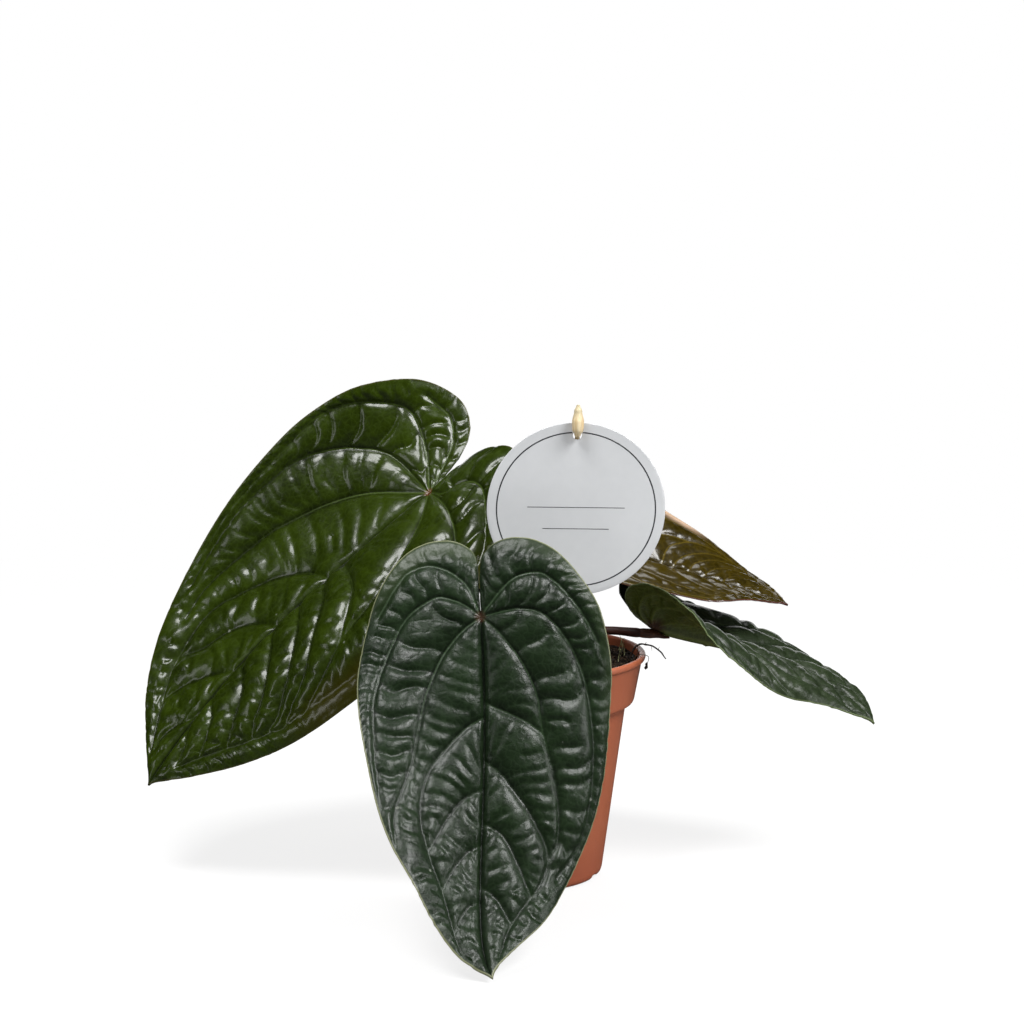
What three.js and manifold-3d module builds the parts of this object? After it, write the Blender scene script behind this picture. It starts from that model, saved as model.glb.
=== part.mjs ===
// A young anthurium hybrid in a 12 cm nursery pot, with a round hang tag on a split-bamboo pick.
// Units are millimetres, +Z is up, the front faces -Y, and the origin is the centre of the pot's base.
import * as THREE from "three";
import { mergeVertices } from "three/addons/utils/BufferGeometryUtils.js";
import Module from "manifold-3d";

const wasm = await Module();
wasm.setup();

// Sizes.
const GAP = 0.3; // clearance between neighbouring pieces
const POT_SIDES = 48;
const POT_FLOOR = 1.8;
const FOOT_NOTCHES = 8;
const NOTCH = { width: 8.4, height: 2.1, boss: 3.9, inner: 29, outer: 46 };
const DRAIN = { radius: 2.6, at: 33.5 };
// Outside of the pot from the foot to the lip, then down the inside: [radius, height].
const POT_OUT = [
  [0, 0], [36.8, 0], [38.6, 0.5], [39.6, 1.7], [40.0, 3.6], [50.6, 81.6], [51.1, 82.7], [54.3, 83.9],
  [54.8, 85.0], [58.2, 103.1], [59.7, 104.1], [60.0, 105.1], [59.9, 106.1], [59.3, 106.8],
];
const POT_IN = [
  [58.1, 106.8], [57.2, 105.9], [56.7, 103.4], [53.1, 85.0], [49.7, 83.6], [49.1, 82.4],
  [37.7, 4.2], [36.6, 2.5], [34.8, POT_FLOOR], [0, POT_FLOOR],
];
const SOIL_TOP = 103.2;
const SOIL_ROUGH = 1.5;
const HOLE_FLOOR = 78; // depth that the stems' holes reach in the soil

const CROWN = { radius: 5.0, top: 113, x: 0, y: 0 };
const PETIOLE_SIDES = 10;
const PETIOLE_STATIONS = 17;
const BLADE = 0.8; // thickness of every blade
const INNER_VEIN = 0.62; // where the inner and the collective vein run, from midrib 0 to margin 1
const COLLECTIVE_VEIN = 0.87;
const SINUS_EDGE = [0.07, 0.18]; // where, along the half outline, a narrowed notch widens to the common one
const BAND_HEIGHT = { inner: 1.7, middle: 1.45, outer: 1.15 };

const TAG = {
  radius: 40.3, thick: 0.8, hole: 2.05, holeUp: 34.5, x: 25.6, y: -42, z: 180.5, lean: 0.12, turn: 0.012,
};
const PICK = { radius: 1.9, neck: 1.0, head: 2.75, foot: 42 };

const COLOUR = {
  terracotta: 0xa5583f, peat: 0x1d1511, stem: 0x3f231b, front: 0x26382b, left: 0x2f4a16,
  bronze: 0x4d3d10, low: 0x2b3f2e, card: 0xd9dbde, bamboo: 0xcbb184, root: 0x2a1c14,
};

// Each blade: midrib as a cubic Bezier from the petiole to the tip, half widths, then the roll of the
// blade about its midrib, the fold of each half at the midrib and how it curls, each changing to the tip.
const LEAVES = {
  front: {
    midrib: [[-16.9, -85.5, 139.5], [-10.9, -108.2, 62.6], [-23.2, -139.5, 14.1], [-11.2, -162.3, 2.6]],
    face: [0, -1, 0.3], width: [57.6, 55.1], roll: [-0.464, 0.489, -0.094],
    fold: [[-0.034, -0.095], [0.367, 0.110]], curl: [[-0.01412, -0.00435], [-0.00185, 0.01560]],
    lobe: -0.00992, sinus: 0.2, laterals: 7, relief: 1.0, wave: 1.2, keel: 1.3,
  },
  left: {
    midrib: [[-42.6, 19.4, 179.4], [-80.0, 10.2, 147.3], [-131.1, 4.8, 112.2], [-174.9, -15.0, 45.1]],
    face: [0, 0, 1], width: [77.7, 78.6], roll: [0.417, 0.136, 0.551],
    fold: [[0.372, 0.082], [0.106, -0.902]], curl: [[-0.01267, 0.00407], [0.01379, -0.00232]],
    lobe: 0, sinus: 1, laterals: 7, relief: 1.15, wave: 1.4, keel: 1.4,
  },
  low: {
    midrib: [[63.6, 1.1, 117.8], [91.2, 10.2, 105.6], [136.2, 13.9, 105.7], [168.1, -7.9, 73.2]],
    face: [0, 0, 1], width: [41.5, 43.1], roll: [0.349, -0.566, 0.340],
    fold: [[1.001, -0.836], [0.448, -0.469]], curl: [[-0.01197, -0.01489], [-0.02202, -0.01321]],
    lobe: 0.01476, sinus: 1, laterals: 6, relief: 0.75, wave: 0.8, keel: 1.0,
  },
  high: {
    midrib: [[44.7, 20.2, 151.0], [76.4, 17.0, 142.5], [103.8, 21.5, 134.3], [128.9, 14.2, 126.2]],
    face: [0, 0, 1], width: [35.8, 32.1], roll: [-0.544, 0.219, 0.218],
    fold: [[0.393, -0.352], [0.362, -0.199]], curl: [[-0.00333, -0.00613], [-0.00497, -0.00491]],
    lobe: 0, sinus: 1, laterals: 5, relief: 0.6, wave: 0.6, keel: 0.9,
  },
};
// Half outline of a blade from the petiole's notch round the lobe to the tip, in half widths and lengths.
const OUTLINE = [
  [0, -0.012], [0.02, -0.055], [0.06, -0.125], [0.17, -0.19], [0.36, -0.217], [0.63, -0.17], [0.86, -0.05],
  [0.97, 0.09], [1, 0.21], [0.965, 0.37], [0.86, 0.54], [0.70, 0.69], [0.48, 0.82], [0.25, 0.915],
  [0.095, 0.965], [0.03, 0.985], [0, 1],
];

// Small helpers.
const v3 = (x, y, z) => new THREE.Vector3(x, y, z);

/** Repeatable random numbers from 0 to 1. */
function seeded(seed) {
  let s = seed >>> 0;
  return () => {
    s = (Math.imul(s, 1664525) + 1013904223) >>> 0;
    return s / 4294967296;
  };
}

/** Smooth step from 0 at a to 1 at b. */
function smooth(a, b, x) {
  const t = Math.min(1, Math.max(0, (x - a) / (b - a)));
  return t * t * (3 - 2 * t);
}

/** A geometry from a list of [x, y, z] points and triangles. */
function fromTriangles(points, triangles) {
  const g = new THREE.BufferGeometry();
  g.setAttribute("position", new THREE.Float32BufferAttribute(points.flat(), 3));
  g.setIndex(triangles.flat());
  return g;
}

/** A closed three.js geometry as a manifold solid. */
function solid(geometry) {
  let g = geometry.index ? geometry.clone() : geometry;
  g.deleteAttribute("normal");
  g.deleteAttribute("uv");
  g = mergeVertices(g, 1e-4);
  const index = g.index.array;
  const keep = [];
  for (let i = 0; i < index.length; i += 3) {
    const [a, b, c] = [index[i], index[i + 1], index[i + 2]];
    if (a !== b && b !== c && c !== a) keep.push(a, b, c);
  }
  const vertProperties = new Float32Array(g.attributes.position.array);
  return new wasm.Manifold(new wasm.Mesh({ numProp: 3, vertProperties, triVerts: new Uint32Array(keep) }));
}

/** The geometry of a manifold solid. */
function geometryOf(manifold) {
  const m = manifold.getMesh();
  const g = new THREE.BufferGeometry();
  g.setAttribute("position", new THREE.Float32BufferAttribute(m.vertProperties, 3));
  g.setIndex(Array.from(m.triVerts));
  return g;
}

/** A named mesh with a standard material. */
function piece(name, geometry, colour, roughness, metalness = 0) {
  geometry.computeVertexNormals();
  const material = new THREE.MeshStandardMaterial({ color: colour, roughness, metalness });
  const mesh = new THREE.Mesh(geometry, material);
  mesh.name = name;
  return mesh;
}

/** A solid turned round Z from a profile that starts and ends on the axis. */
function turned(profile, sides) {
  const g = new THREE.LatheGeometry(profile.map(([r, z]) => new THREE.Vector2(r, z)), sides);
  g.rotateX(Math.PI / 2);
  return solid(g);
}

/** A box solid given by its middle and size, turned about Z. */
function box(cx, cy, cz, sx, sy, sz, turn = 0) {
  const g = new THREE.BoxGeometry(sx, sy, sz);
  g.translate(cx, cy, cz);
  g.rotateZ(turn);
  return solid(g);
}

/** An upright cylinder solid from z0 to z1. */
function post(x, y, r, z0, z1, sides = 12) {
  const g = new THREE.CylinderGeometry(r, r, z1 - z0, sides);
  g.rotateX(Math.PI / 2);
  g.translate(x, y, (z0 + z1) / 2);
  return solid(g);
}

/**
 * A closed round rod along a smooth curve through the points, with its own radius at each station.
 * The section's first corner is carried along the curve without twist.
 */
function rod(points, radii, sides, stations) {
  const curve = new THREE.CatmullRomCurve3(points.map((p) => v3(...p)), false, "centripetal");
  const pts = [];
  const tris = [];
  let side = null;
  for (let i = 0; i <= stations; i++) {
    const u = i / stations;
    const c = curve.getPoint(u);
    const t = curve.getTangent(u).normalize();
    if (!side) side = Math.abs(t.x) > 0.9 ? v3(0, 1, 0) : v3(1, 0, 0);
    side.addScaledVector(t, -side.dot(t)).normalize();
    const other = v3(0, 0, 0).crossVectors(t, side);
    const at = u * (radii.length - 1);
    const k = Math.min(radii.length - 2, Math.floor(at));
    const r = radii[k] + (radii[k + 1] - radii[k]) * smooth(0, 1, at - k);
    for (let j = 0; j < sides; j++) {
      const a = (2 * Math.PI * j) / sides;
      const p = c.clone().addScaledVector(side, r * Math.cos(a)).addScaledVector(other, r * Math.sin(a));
      pts.push([p.x, p.y, p.z]);
    }
  }
  for (let i = 0; i < stations; i++) {
    for (let j = 0; j < sides; j++) {
      const a = i * sides + j;
      const b = i * sides + ((j + 1) % sides);
      tris.push([a, b, b + sides], [a, b + sides, a + sides]);
    }
  }
  for (const [ring, turn] of [[0, 1], [stations, 0]]) {
    const c = curve.getPoint(ring / stations);
    const m = pts.push([c.x, c.y, c.z]) - 1;
    for (let j = 0; j < sides; j++) {
      const a = ring * sides + j;
      const b = ring * sides + ((j + 1) % sides);
      tris.push(turn ? [m, b, a] : [m, a, b]);
    }
  }
  return fromTriangles(pts, tris);
}

// Blades.
/** A blade's bent surface: flat millimetres (x across, y along the midrib) to space. */
class BladeSurface {
  constructor(leaf) {
    this.leaf = leaf;
    this.curve = new THREE.CubicBezierCurve3(...leaf.midrib.map((p) => v3(...p)));
    this.steps = 400;
    this.at = [0];
    let last = this.curve.getPoint(0);
    for (let i = 1; i <= this.steps; i++) {
      const p = this.curve.getPoint(i / this.steps);
      this.at.push(this.at[i - 1] + p.distanceTo(last));
      last = p;
    }
    this.length = this.at[this.steps];
  }

  /** The midrib's point with the directions along it, across it and out of the upper face. */
  frame(y) {
    const yy = Math.min(Math.max(y, 0), this.length);
    let i = 1;
    while (i < this.steps && this.at[i] < yy) i++;
    const u = (i - 1 + (yy - this.at[i - 1]) / (this.at[i] - this.at[i - 1])) / this.steps;
    const p = this.curve.getPoint(u);
    let t = this.curve.getTangent(u).normalize();
    const b = v3(0, 0, 0).crossVectors(t, v3(...this.leaf.face)).normalize();
    const n = v3(0, 0, 0).crossVectors(b, t);
    const q = yy / this.length;
    const roll = this.leaf.roll[0] + this.leaf.roll[1] * q + this.leaf.roll[2] * q * q;
    const c = Math.cos(roll);
    const s = Math.sin(roll);
    const across = b.clone().multiplyScalar(c).addScaledVector(n, s);
    let out = n.clone().multiplyScalar(c).addScaledVector(b, -s);
    if (y < 0) {
      // The lobes behind the petiole lift or droop along an arc.
      const k = Math.abs(this.leaf.lobe) < 1e-6 ? 1e-6 : this.leaf.lobe;
      const turn = -k * y;
      p.addScaledVector(t, -Math.sin(turn) / k).addScaledVector(out, (1 - Math.cos(turn)) / k);
      const t2 = t.clone().multiplyScalar(Math.cos(turn)).addScaledVector(out, -Math.sin(turn));
      out = out.multiplyScalar(Math.cos(turn)).addScaledVector(t, Math.sin(turn));
      t = t2;
    }
    return { p, t, across, out };
  }

  /** The surface point; half is 0 left of the midrib, 1 right of it. */
  point(x, y, half) {
    const { p, across, out } = this.frame(y);
    const q = Math.min(Math.max(y / this.length, -0.25), 1);
    const fold = this.leaf.fold[half][0] + this.leaf.fold[half][1] * q;
    let k = this.leaf.curl[half][0] + this.leaf.curl[half][1] * q;
    if (Math.abs(k) < 1e-5) k = 1e-5;
    const a = Math.abs(x);
    const sideways = ((Math.sin(fold + k * a) - Math.sin(fold)) / k) * (half ? 1 : -1);
    const lift = (Math.cos(fold) - Math.cos(fold + k * a)) / k;
    return p.clone().addScaledVector(across, sideways).addScaledVector(out, lift);
  }

  /** The surface's unit normal, out of the upper face. */
  normal(x, y, half) {
    const e = 0.05;
    const side = half ? 1 : -1;
    const x0 = Math.max(Math.abs(x), e) * side;
    const dx = this.point(x0 + e * side * 0.9, y, half).sub(this.point(x0 - e * side * 0.9, y, half));
    const dy = this.point(x0, y + e, half).sub(this.point(x0, y - e, half));
    const n = v3(0, 0, 0).crossVectors(dx, dy).normalize();
    return half ? n : n.negate();
  }
}

/** Points along the half outline at equal steps of its length, t from 0 at the notch to 1 at the tip. */
function outlineSampler() {
  const dense = [];
  const P = [OUTLINE[0].map((c, i) => 2 * c - OUTLINE[1][i]), ...OUTLINE, [0, 1.015]];
  for (let i = 1; i < P.length - 2; i++) {
    const [a, b, c, d] = [P[i - 1], P[i], P[i + 1], P[i + 2]];
    for (let j = 0; j < 12; j++) {
      const t = j / 12;
      dense.push([0, 1].map((m) => {
        const square = 2 * a[m] - 5 * b[m] + 4 * c[m] - d[m];
        const cube = 3 * b[m] - a[m] - 3 * c[m] + d[m];
        return 0.5 * (2 * b[m] + (c[m] - a[m]) * t + square * t * t + cube * t * t * t);
      }));
    }
  }
  dense.push(OUTLINE[OUTLINE.length - 1]);
  const at = [0];
  for (let i = 1; i < dense.length; i++) {
    // A blade is about 2.8 half widths long, so lengths along it count that much more.
    at.push(at[i - 1] + Math.hypot(dense[i][0] - dense[i - 1][0], 2.8 * (dense[i][1] - dense[i - 1][1])));
  }
  return (t) => {
    const want = t * at[at.length - 1];
    let i = 1;
    while (i < at.length - 1 && at[i] < want) i++;
    const f = (want - at[i - 1]) / (at[i] - at[i - 1]);
    return dense[i].map((c, m) => dense[i - 1][m] + (c - dense[i - 1][m]) * f);
  };
}
const outlineAt = outlineSampler();

/** A blade's own half outline: the common one, with the two lobes drawn together beside the notch. */
function edgePoint(t, leaf) {
  const [x, y] = outlineAt(t);
  return [x * (leaf.sinus + (1 - leaf.sinus) * smooth(SINUS_EDGE[0], SINUS_EDGE[1], t)), y];
}

/** Where the lateral vein line t leaves the midrib, in blade lengths. */
function veinFoot(t) {
  const y = outlineAt(t)[1];
  const peak = 0.16;
  return t > 0.3 && y > peak ? Math.pow((y - peak) / (1 - peak), 1.5) : 0;
}

/** A point of the flat blade: s from midrib 0 to margin 1 along vein line t. */
function flatPoint(s, t, leaf) {
  const [ox, oy] = edgePoint(t, leaf);
  const m = veinFoot(t);
  const cx = 0.68 * ox;
  const cy = m + 0.32 * (oy - m);
  const [a, b, c] = [(1 - s) * (1 - s), 2 * s * (1 - s), s * s];
  return [b * cx + c * ox, a * m + b * cy + c * oy];
}

/** Height of a cushion between two veins, 0 at each vein and 1 between them. */
const cushion = (u) => Math.pow(Math.max(0, 4 * u * (1 - u)), 0.65);
const fraction = (u) => u - Math.floor(u + 1e-9);

/** Quilting of the blade: cushions between the laterals, in three bands that the two long veins part. */
function quilt(s, t, leaf) {
  const n = leaf.laterals;
  if (s <= INNER_VEIN) {
    const u = s / INNER_VEIN;
    return BAND_HEIGHT.inner * cushion(fraction(t * n)) * cushion(u);
  }
  if (s <= COLLECTIVE_VEIN) {
    const u = (s - INNER_VEIN) / (COLLECTIVE_VEIN - INNER_VEIN);
    return BAND_HEIGHT.middle * cushion(fraction(t * 2 * n)) * cushion(u);
  }
  const u = (s - COLLECTIVE_VEIN) / (1 - COLLECTIVE_VEIN);
  const across = u < 0.45 ? cushion((0.5 * u) / 0.45) : 1 - 0.5 * smooth(0.45, 1, u);
  return BAND_HEIGHT.outer * cushion(fraction(t * 4 * n)) * across;
}

/** Closed blade: the same triangles on both faces, joined round the margin. */
function bladeGeometry(leaf) {
  const surface = new BladeSurface(leaf);
  const n = leaf.laterals;
  const coarse = 4 * n;
  const rows = [
    [0, coarse], [0.2, coarse], [0.41, coarse], [INNER_VEIN, coarse], [0.745, coarse],
    [COLLECTIVE_VEIN, coarse], [0.92, 2 * coarse], [0.96, 2 * coarse], [1, 2 * coarse],
  ];
  const points = [];
  const tris = [];
  const seen = new Map();
  const L = surface.length;

  /** Indices of the upper and lower vertex at (s, t) of one half. */
  function vertex(s, t, half) {
    const [fx, fy] = flatPoint(s, t, leaf);
    const x = (half ? 1 : -1) * fx * leaf.width[half];
    const y = fy * L;
    const key = `${Math.round(x * 1e3)},${Math.round(y * 1e3)}`;
    if (seen.has(key)) return seen.get(key);
    const middle = Math.abs(x) < 1e-3;
    const normal = middle
      ? surface.normal(0, y, 0).add(surface.normal(0, y, 1)).normalize()
      : surface.normal(x, y, half);
    const [ox, oy] = edgePoint(t, leaf);
    const reach = Math.hypot(ox * leaf.width[half], (oy - veinFoot(t)) * L);
    const size = leaf.relief * Math.min(1, reach / 26);
    const ends = smooth(0, 0.15, t) * smooth(1, 0.85, t);
    const wave = leaf.wave * s * s * Math.sin(2 * Math.PI * (3.5 * t + 0.35 * half)) * ends;
    const h = middle ? 0 : size * quilt(s, t, leaf) + wave;
    const along = y / L;
    const keel = middle ? leaf.keel * smooth(0, 0.07, along) * (1 - 0.75 * Math.max(0, along)) : 0;
    const p = surface.point(x, y, half);
    const up = p.clone().addScaledVector(normal, h + BLADE / 2);
    const low = p.clone().addScaledVector(normal, h - BLADE / 2 - keel);
    const i = points.push([up.x, up.y, up.z]) - 1;
    points.push([low.x, low.y, low.z]);
    const pair = [i, i + 1];
    seen.set(key, pair);
    return pair;
  }

  /** One triangle on the upper face and its twin on the lower face. */
  function both(a, b, c, half) {
    if (a === b || b === c || c === a) return;
    const [p, q, r] = half ? [a, b, c] : [a, c, b];
    tris.push([p[0], q[0], r[0]], [p[1], r[1], q[1]]);
  }

  for (const half of [0, 1]) {
    for (let i = 0; i + 1 < rows.length; i++) {
      const [s0, n0] = rows[i];
      const [s1, n1] = rows[i + 1];
      for (let j = 0; j < n0; j++) {
        const a = vertex(s0, j / n0, half);
        const b = vertex(s0, (j + 1) / n0, half);
        const c = vertex(s1, j / n0, half);
        const d = vertex(s1, (j + 1) / n0, half);
        if (n1 === n0) {
          both(a, c, d, half);
          both(a, d, b, half);
        } else {
          const m = vertex(s1, (j + 0.5) / n0, half);
          both(a, c, m, half);
          both(a, m, b, half);
          both(b, m, d, half);
        }
      }
    }
    const [s, count] = rows[rows.length - 1];
    for (let j = 0; j < count; j++) {
      const a = vertex(s, j / count, half);
      const b = vertex(s, (j + 1) / count, half);
      if (a === b) continue;
      if (half) tris.push([a[0], a[1], b[1]], [a[0], b[1], b[0]]);
      else tris.push([a[0], b[1], a[1]], [a[0], b[0], b[1]]);
    }
  }
  return { geometry: fromTriangles(points, tris), surface };
}

/** Where a petiole of radius r that arrives along d ends, just clear of the blade's lower face. */
function petioleEnd(surface, r, d) {
  const p = surface.point(0, 0, 1);
  const n = surface.normal(0, 0, 0).add(surface.normal(0, 0, 1)).normalize();
  const along = n.dot(d);
  return p.addScaledVector(n, -(BLADE / 2 + GAP + 0.15 + r * Math.sqrt(Math.max(0, 1 - along * along))));
}

// Pot and soil.
/** Tapered pot with a stepped collar, a rolled lip, notched foot and drain holes. */
function potSolid() {
  let pot = turned([...POT_OUT, ...POT_IN], POT_SIDES);
  const shell = turned([...POT_OUT, [0, POT_OUT[POT_OUT.length - 1][1]]], POT_SIDES);
  for (let i = 0; i < FOOT_NOTCHES; i++) {
    const turn = (2 * Math.PI * (i + 0.5)) / FOOT_NOTCHES;
    const boss = box((NOTCH.inner + 39) / 2, 0, (0.4 + NOTCH.boss) / 2, 39 - NOTCH.inner, NOTCH.width + 3.4,
      NOTCH.boss - 0.4, turn);
    pot = pot.add(boss.intersect(shell));
  }
  for (let i = 0; i < FOOT_NOTCHES; i++) {
    const turn = (2 * Math.PI * (i + 0.5)) / FOOT_NOTCHES;
    const inner = NOTCH.inner + 1.6;
    const middle = (inner + NOTCH.outer) / 2;
    const deep = NOTCH.outer - inner;
    const notch = box(middle, 0, NOTCH.height / 2 - 0.5, deep, NOTCH.width, NOTCH.height + 1, turn);
    pot = pot.subtract(notch);
    pot = pot.subtract(post(DRAIN.at * Math.cos(turn), DRAIN.at * Math.sin(turn), DRAIN.radius, -1, 6));
  }
  return pot;
}

/** Peat filling: follows the pot's inside at a hair's clearance, with an uneven top. */
function soilSolid(holes) {
  const random = seeded(11);
  const rings = [56.0, 50, 42, 34, 26, 18, 11];
  const sides = 40;
  const pts = [];
  const tris = [];
  const wall = [
    [26.5, POT_FLOOR + GAP], [28.2, 4.3], [36.9, 4.5], [48.7, 82.6], [49.35, 84.15], [52.35, 85.5],
    [54.8, 97.0],
  ];
  const ring = (r, z, rough) => {
    const start = pts.length;
    for (let j = 0; j < sides; j++) {
      const a = (2 * Math.PI * j) / sides;
      const lift = typeof z === "function" ? z(a) : z;
      pts.push([r * Math.cos(a), r * Math.sin(a), lift + rough * (random() - 0.5) * 2]);
    }
    return start;
  };
  const join = (a, b) => {
    for (let j = 0; j < sides; j++) {
      const k = (j + 1) % sides;
      tris.push([a + j, a + k, b + k], [a + j, b + k, b + j]);
    }
  };
  const base = pts.push([0, 0, POT_FLOOR + GAP]) - 1;
  let last = ring(wall[0][0], wall[0][1], 0);
  for (let j = 0; j < sides; j++) tris.push([base, last + ((j + 1) % sides), last + j]);
  for (const [r, z] of wall.slice(1)) {
    const next = ring(r, z, 0);
    join(last, next);
    last = next;
  }
  for (const r of rings) {
    const beside = r === rings[0];
    const next = ring(beside ? 55.4 : r, SOIL_TOP + 1.2 * (1 - r / 56), SOIL_ROUGH * (beside ? 0.6 : 1));
    join(last, next);
    last = next;
  }
  const top = pts.push([0, 0, SOIL_TOP + 1.2]) - 1;
  for (let j = 0; j < sides; j++) tris.push([top, last + j, last + ((j + 1) % sides)]);
  let soil = solid(fromTriangles(pts, tris));
  for (const hole of holes) soil = soil.subtract(hole);
  return soil;
}

// Assembly.
const plant = new THREE.Group();

const blades = Object.fromEntries(Object.entries(LEAVES).map(([name, leaf]) => [name, bladeGeometry(leaf)]));

// Each petiole: its foot beside the crown, where its path goes, and the direction it meets the blade in.
const PETIOLES = {
  front: {
    foot: [-3.2, -9.0], via: [[-4.6, -15, 113], [-9, -38, 126], [-14, -66, 134.5]],
    arrive: [-0.2, -0.9, 0.22], r: 2.25,
  },
  left: {
    foot: [-8.3, 4.8], via: [[-10, 6, 116], [-19, 10.5, 139], [-33, 16, 165]],
    arrive: [-0.5, 0.1, 0.82], r: 2.35,
  },
  low: {
    foot: [9.5, -1.6], via: [[12.6, -1.5, 111.2], [24, -0.6, 115.8], [44, 0.4, 116.4]],
    arrive: [1, 0.05, -0.08], r: 2.0,
  },
  high: {
    foot: [6.0, 7.4], via: [[8.2, 8.6, 113], [19, 13, 130], [35, 17.5, 143.5]],
    arrive: [0.75, 0.1, 0.62], r: 1.75,
  },
};
const holes = [post(CROWN.x, CROWN.y, CROWN.radius + GAP, HOLE_FLOOR, 130)];
const stems = {};
for (const [name, stem] of Object.entries(PETIOLES)) {
  const d = v3(...stem.arrive).normalize();
  const swell = stem.r * 1.18;
  const end = petioleEnd(blades[name].surface, swell, d);
  const [x, y] = stem.foot;
  const before = end.clone().addScaledVector(d, -7);
  const foot = [[x, y, HOLE_FLOOR + GAP], [x, y, 91], [x, y, 103.2]];
  const path = [...foot, ...stem.via, before.toArray(), end.toArray()];
  const radii = [stem.r + 0.45, stem.r + 0.45, stem.r + 0.4, stem.r, stem.r, stem.r, stem.r, swell, swell];
  stems[name] = rod(path, radii, PETIOLE_SIDES, PETIOLE_STATIONS);
  const cut = [[x, y, HOLE_FLOOR], ...path.slice(1)];
  holes.push(solid(rod(cut, radii.map((r) => r + 1.4 * GAP), PETIOLE_SIDES, PETIOLE_STATIONS)));
}

// The pick stands behind the tag and is whittled to a neck that comes forward through the tag's hole.
const lean = TAG.lean;
const tagMatrix = new THREE.Matrix4().makeTranslation(TAG.x, TAG.y, TAG.z)
  .multiply(new THREE.Matrix4().makeRotationX(lean)).multiply(new THREE.Matrix4().makeRotationY(TAG.turn));
const onTag = (x, forward, up) => {
  const p = v3(x, -forward, up).applyMatrix4(tagMatrix);
  return [p.x, p.y, p.z];
};
const back = -(TAG.thick / 2 + GAP + PICK.radius);
const pickFoot = onTag(0, back, -100);
const pickLow = onTag(0, back, -60);
const pickPath = [
  [pickFoot[0] + 0.2, pickLow[1] + 4.0, PICK.foot], [pickLow[0] + 0.2, pickLow[1] + 2.0, 84],
  onTag(0, back, -42), onTag(0, back, 0), onTag(0, back, 22), onTag(0, back, 29.5), onTag(0, -1.9, 33.2),
  onTag(0, 0, TAG.holeUp),
  onTag(0, 2.2, 35.6), onTag(0, 3.5, 38.2), onTag(0, 3.6, 41.5), onTag(0, 3.3, 46), onTag(0, 3.1, 49),
];
const pickRadii = [
  1.3, PICK.radius, PICK.radius, PICK.radius, PICK.radius, PICK.radius * 0.85, PICK.neck + 0.1, PICK.neck,
  1.6, PICK.head - 0.1, PICK.head, 1.9, 0.8,
];
const pick = rod(pickPath, pickRadii, 10, 36);
holes.push(solid(rod([[...pickPath[0].slice(0, 2), PICK.foot - GAP], ...pickPath.slice(1)],
  pickRadii.map((r) => r + 1.4 * GAP), 10, 36)));

// The round card with its punched hole.
const disc = new THREE.Shape();
disc.absarc(0, 0, TAG.radius, 0, 2 * Math.PI, false);
const punched = new THREE.Path();
punched.absarc(0, TAG.holeUp, TAG.hole, 0, 2 * Math.PI, true);
disc.holes.push(punched);
const card = new THREE.ExtrudeGeometry(disc, { depth: TAG.thick, bevelEnabled: false, curveSegments: 36 });
card.translate(0, 0, -TAG.thick / 2);
card.rotateX(Math.PI / 2);
card.applyMatrix4(tagMatrix);

// A loose aerial root lies over the lip of the pot and hangs in the air beside it.
const rootling = rod(
  [[50.5, -2, 97.5], [52.5, -2, 103.5], [55.2, -2.2, 109.2], [58.4, -2.6, 110.6], [62.2, -3.2, 110.0],
    [66.4, -3.6, 107.6], [69.4, -3.8, 103.6]],
  [0.75, 0.7, 0.62, 0.6, 0.55, 0.5, 0.4], 6, 14,
);
const rootWay = [[50.2, -2, 93], [50.5, -2, 97.5], [52.5, -2, 103.5], [54.3, -2.1, 107.6]];
holes.push(solid(rod(rootWay, [1.3, 1.3, 1.3, 1.3], 8, 6)));

// The short stem: a knobbly crown with old leaf scars.
const crown = turned(
  [[0, HOLE_FLOOR + GAP], [CROWN.radius - 0.8, HOLE_FLOOR + GAP], [CROWN.radius, 82], [CROWN.radius, 101.5],
    [CROWN.radius - 0.5, 103], [CROWN.radius - 0.1, 104.6], [CROWN.radius - 0.7, 106.4],
    [CROWN.radius - 0.5, 108], [CROWN.radius - 1.4, 110], [CROWN.radius - 2.6, 112], [0, CROWN.top]],
  14,
);

plant.add(piece("pot", geometryOf(potSolid()), COLOUR.terracotta, 0.5));
plant.add(piece("soil", geometryOf(soilSolid(holes)), COLOUR.peat, 0.95));
plant.add(piece("crown", geometryOf(crown), COLOUR.stem, 0.7));
for (const name of Object.keys(LEAVES)) {
  plant.add(piece(`petiole_${name}`, stems[name], COLOUR.stem, 0.5));
  const tint = { front: COLOUR.front, left: COLOUR.left, low: COLOUR.low, high: COLOUR.bronze }[name];
  plant.add(piece(`blade_${name}`, blades[name].geometry, tint, 0.35));
}
plant.add(piece("tag", geometryOf(solid(card)), COLOUR.card, 0.7));
plant.add(piece("tag_pick", pick, COLOUR.bamboo, 0.7));
plant.add(piece("aerial_root", rootling, COLOUR.root, 0.8));

export default plant;
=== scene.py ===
"""Potted anthurium hybrid: the looks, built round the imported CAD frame.

Sizes are in millimetres in this file, as in the CAD source, and become metres where a mesh is made.
+Z is up, the front faces -Y, and the origin is the middle of the pot's base.
"""
import logging
import math
from dataclasses import dataclass, field
from enum import Enum
from typing import Any, Iterable, Sequence

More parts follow.
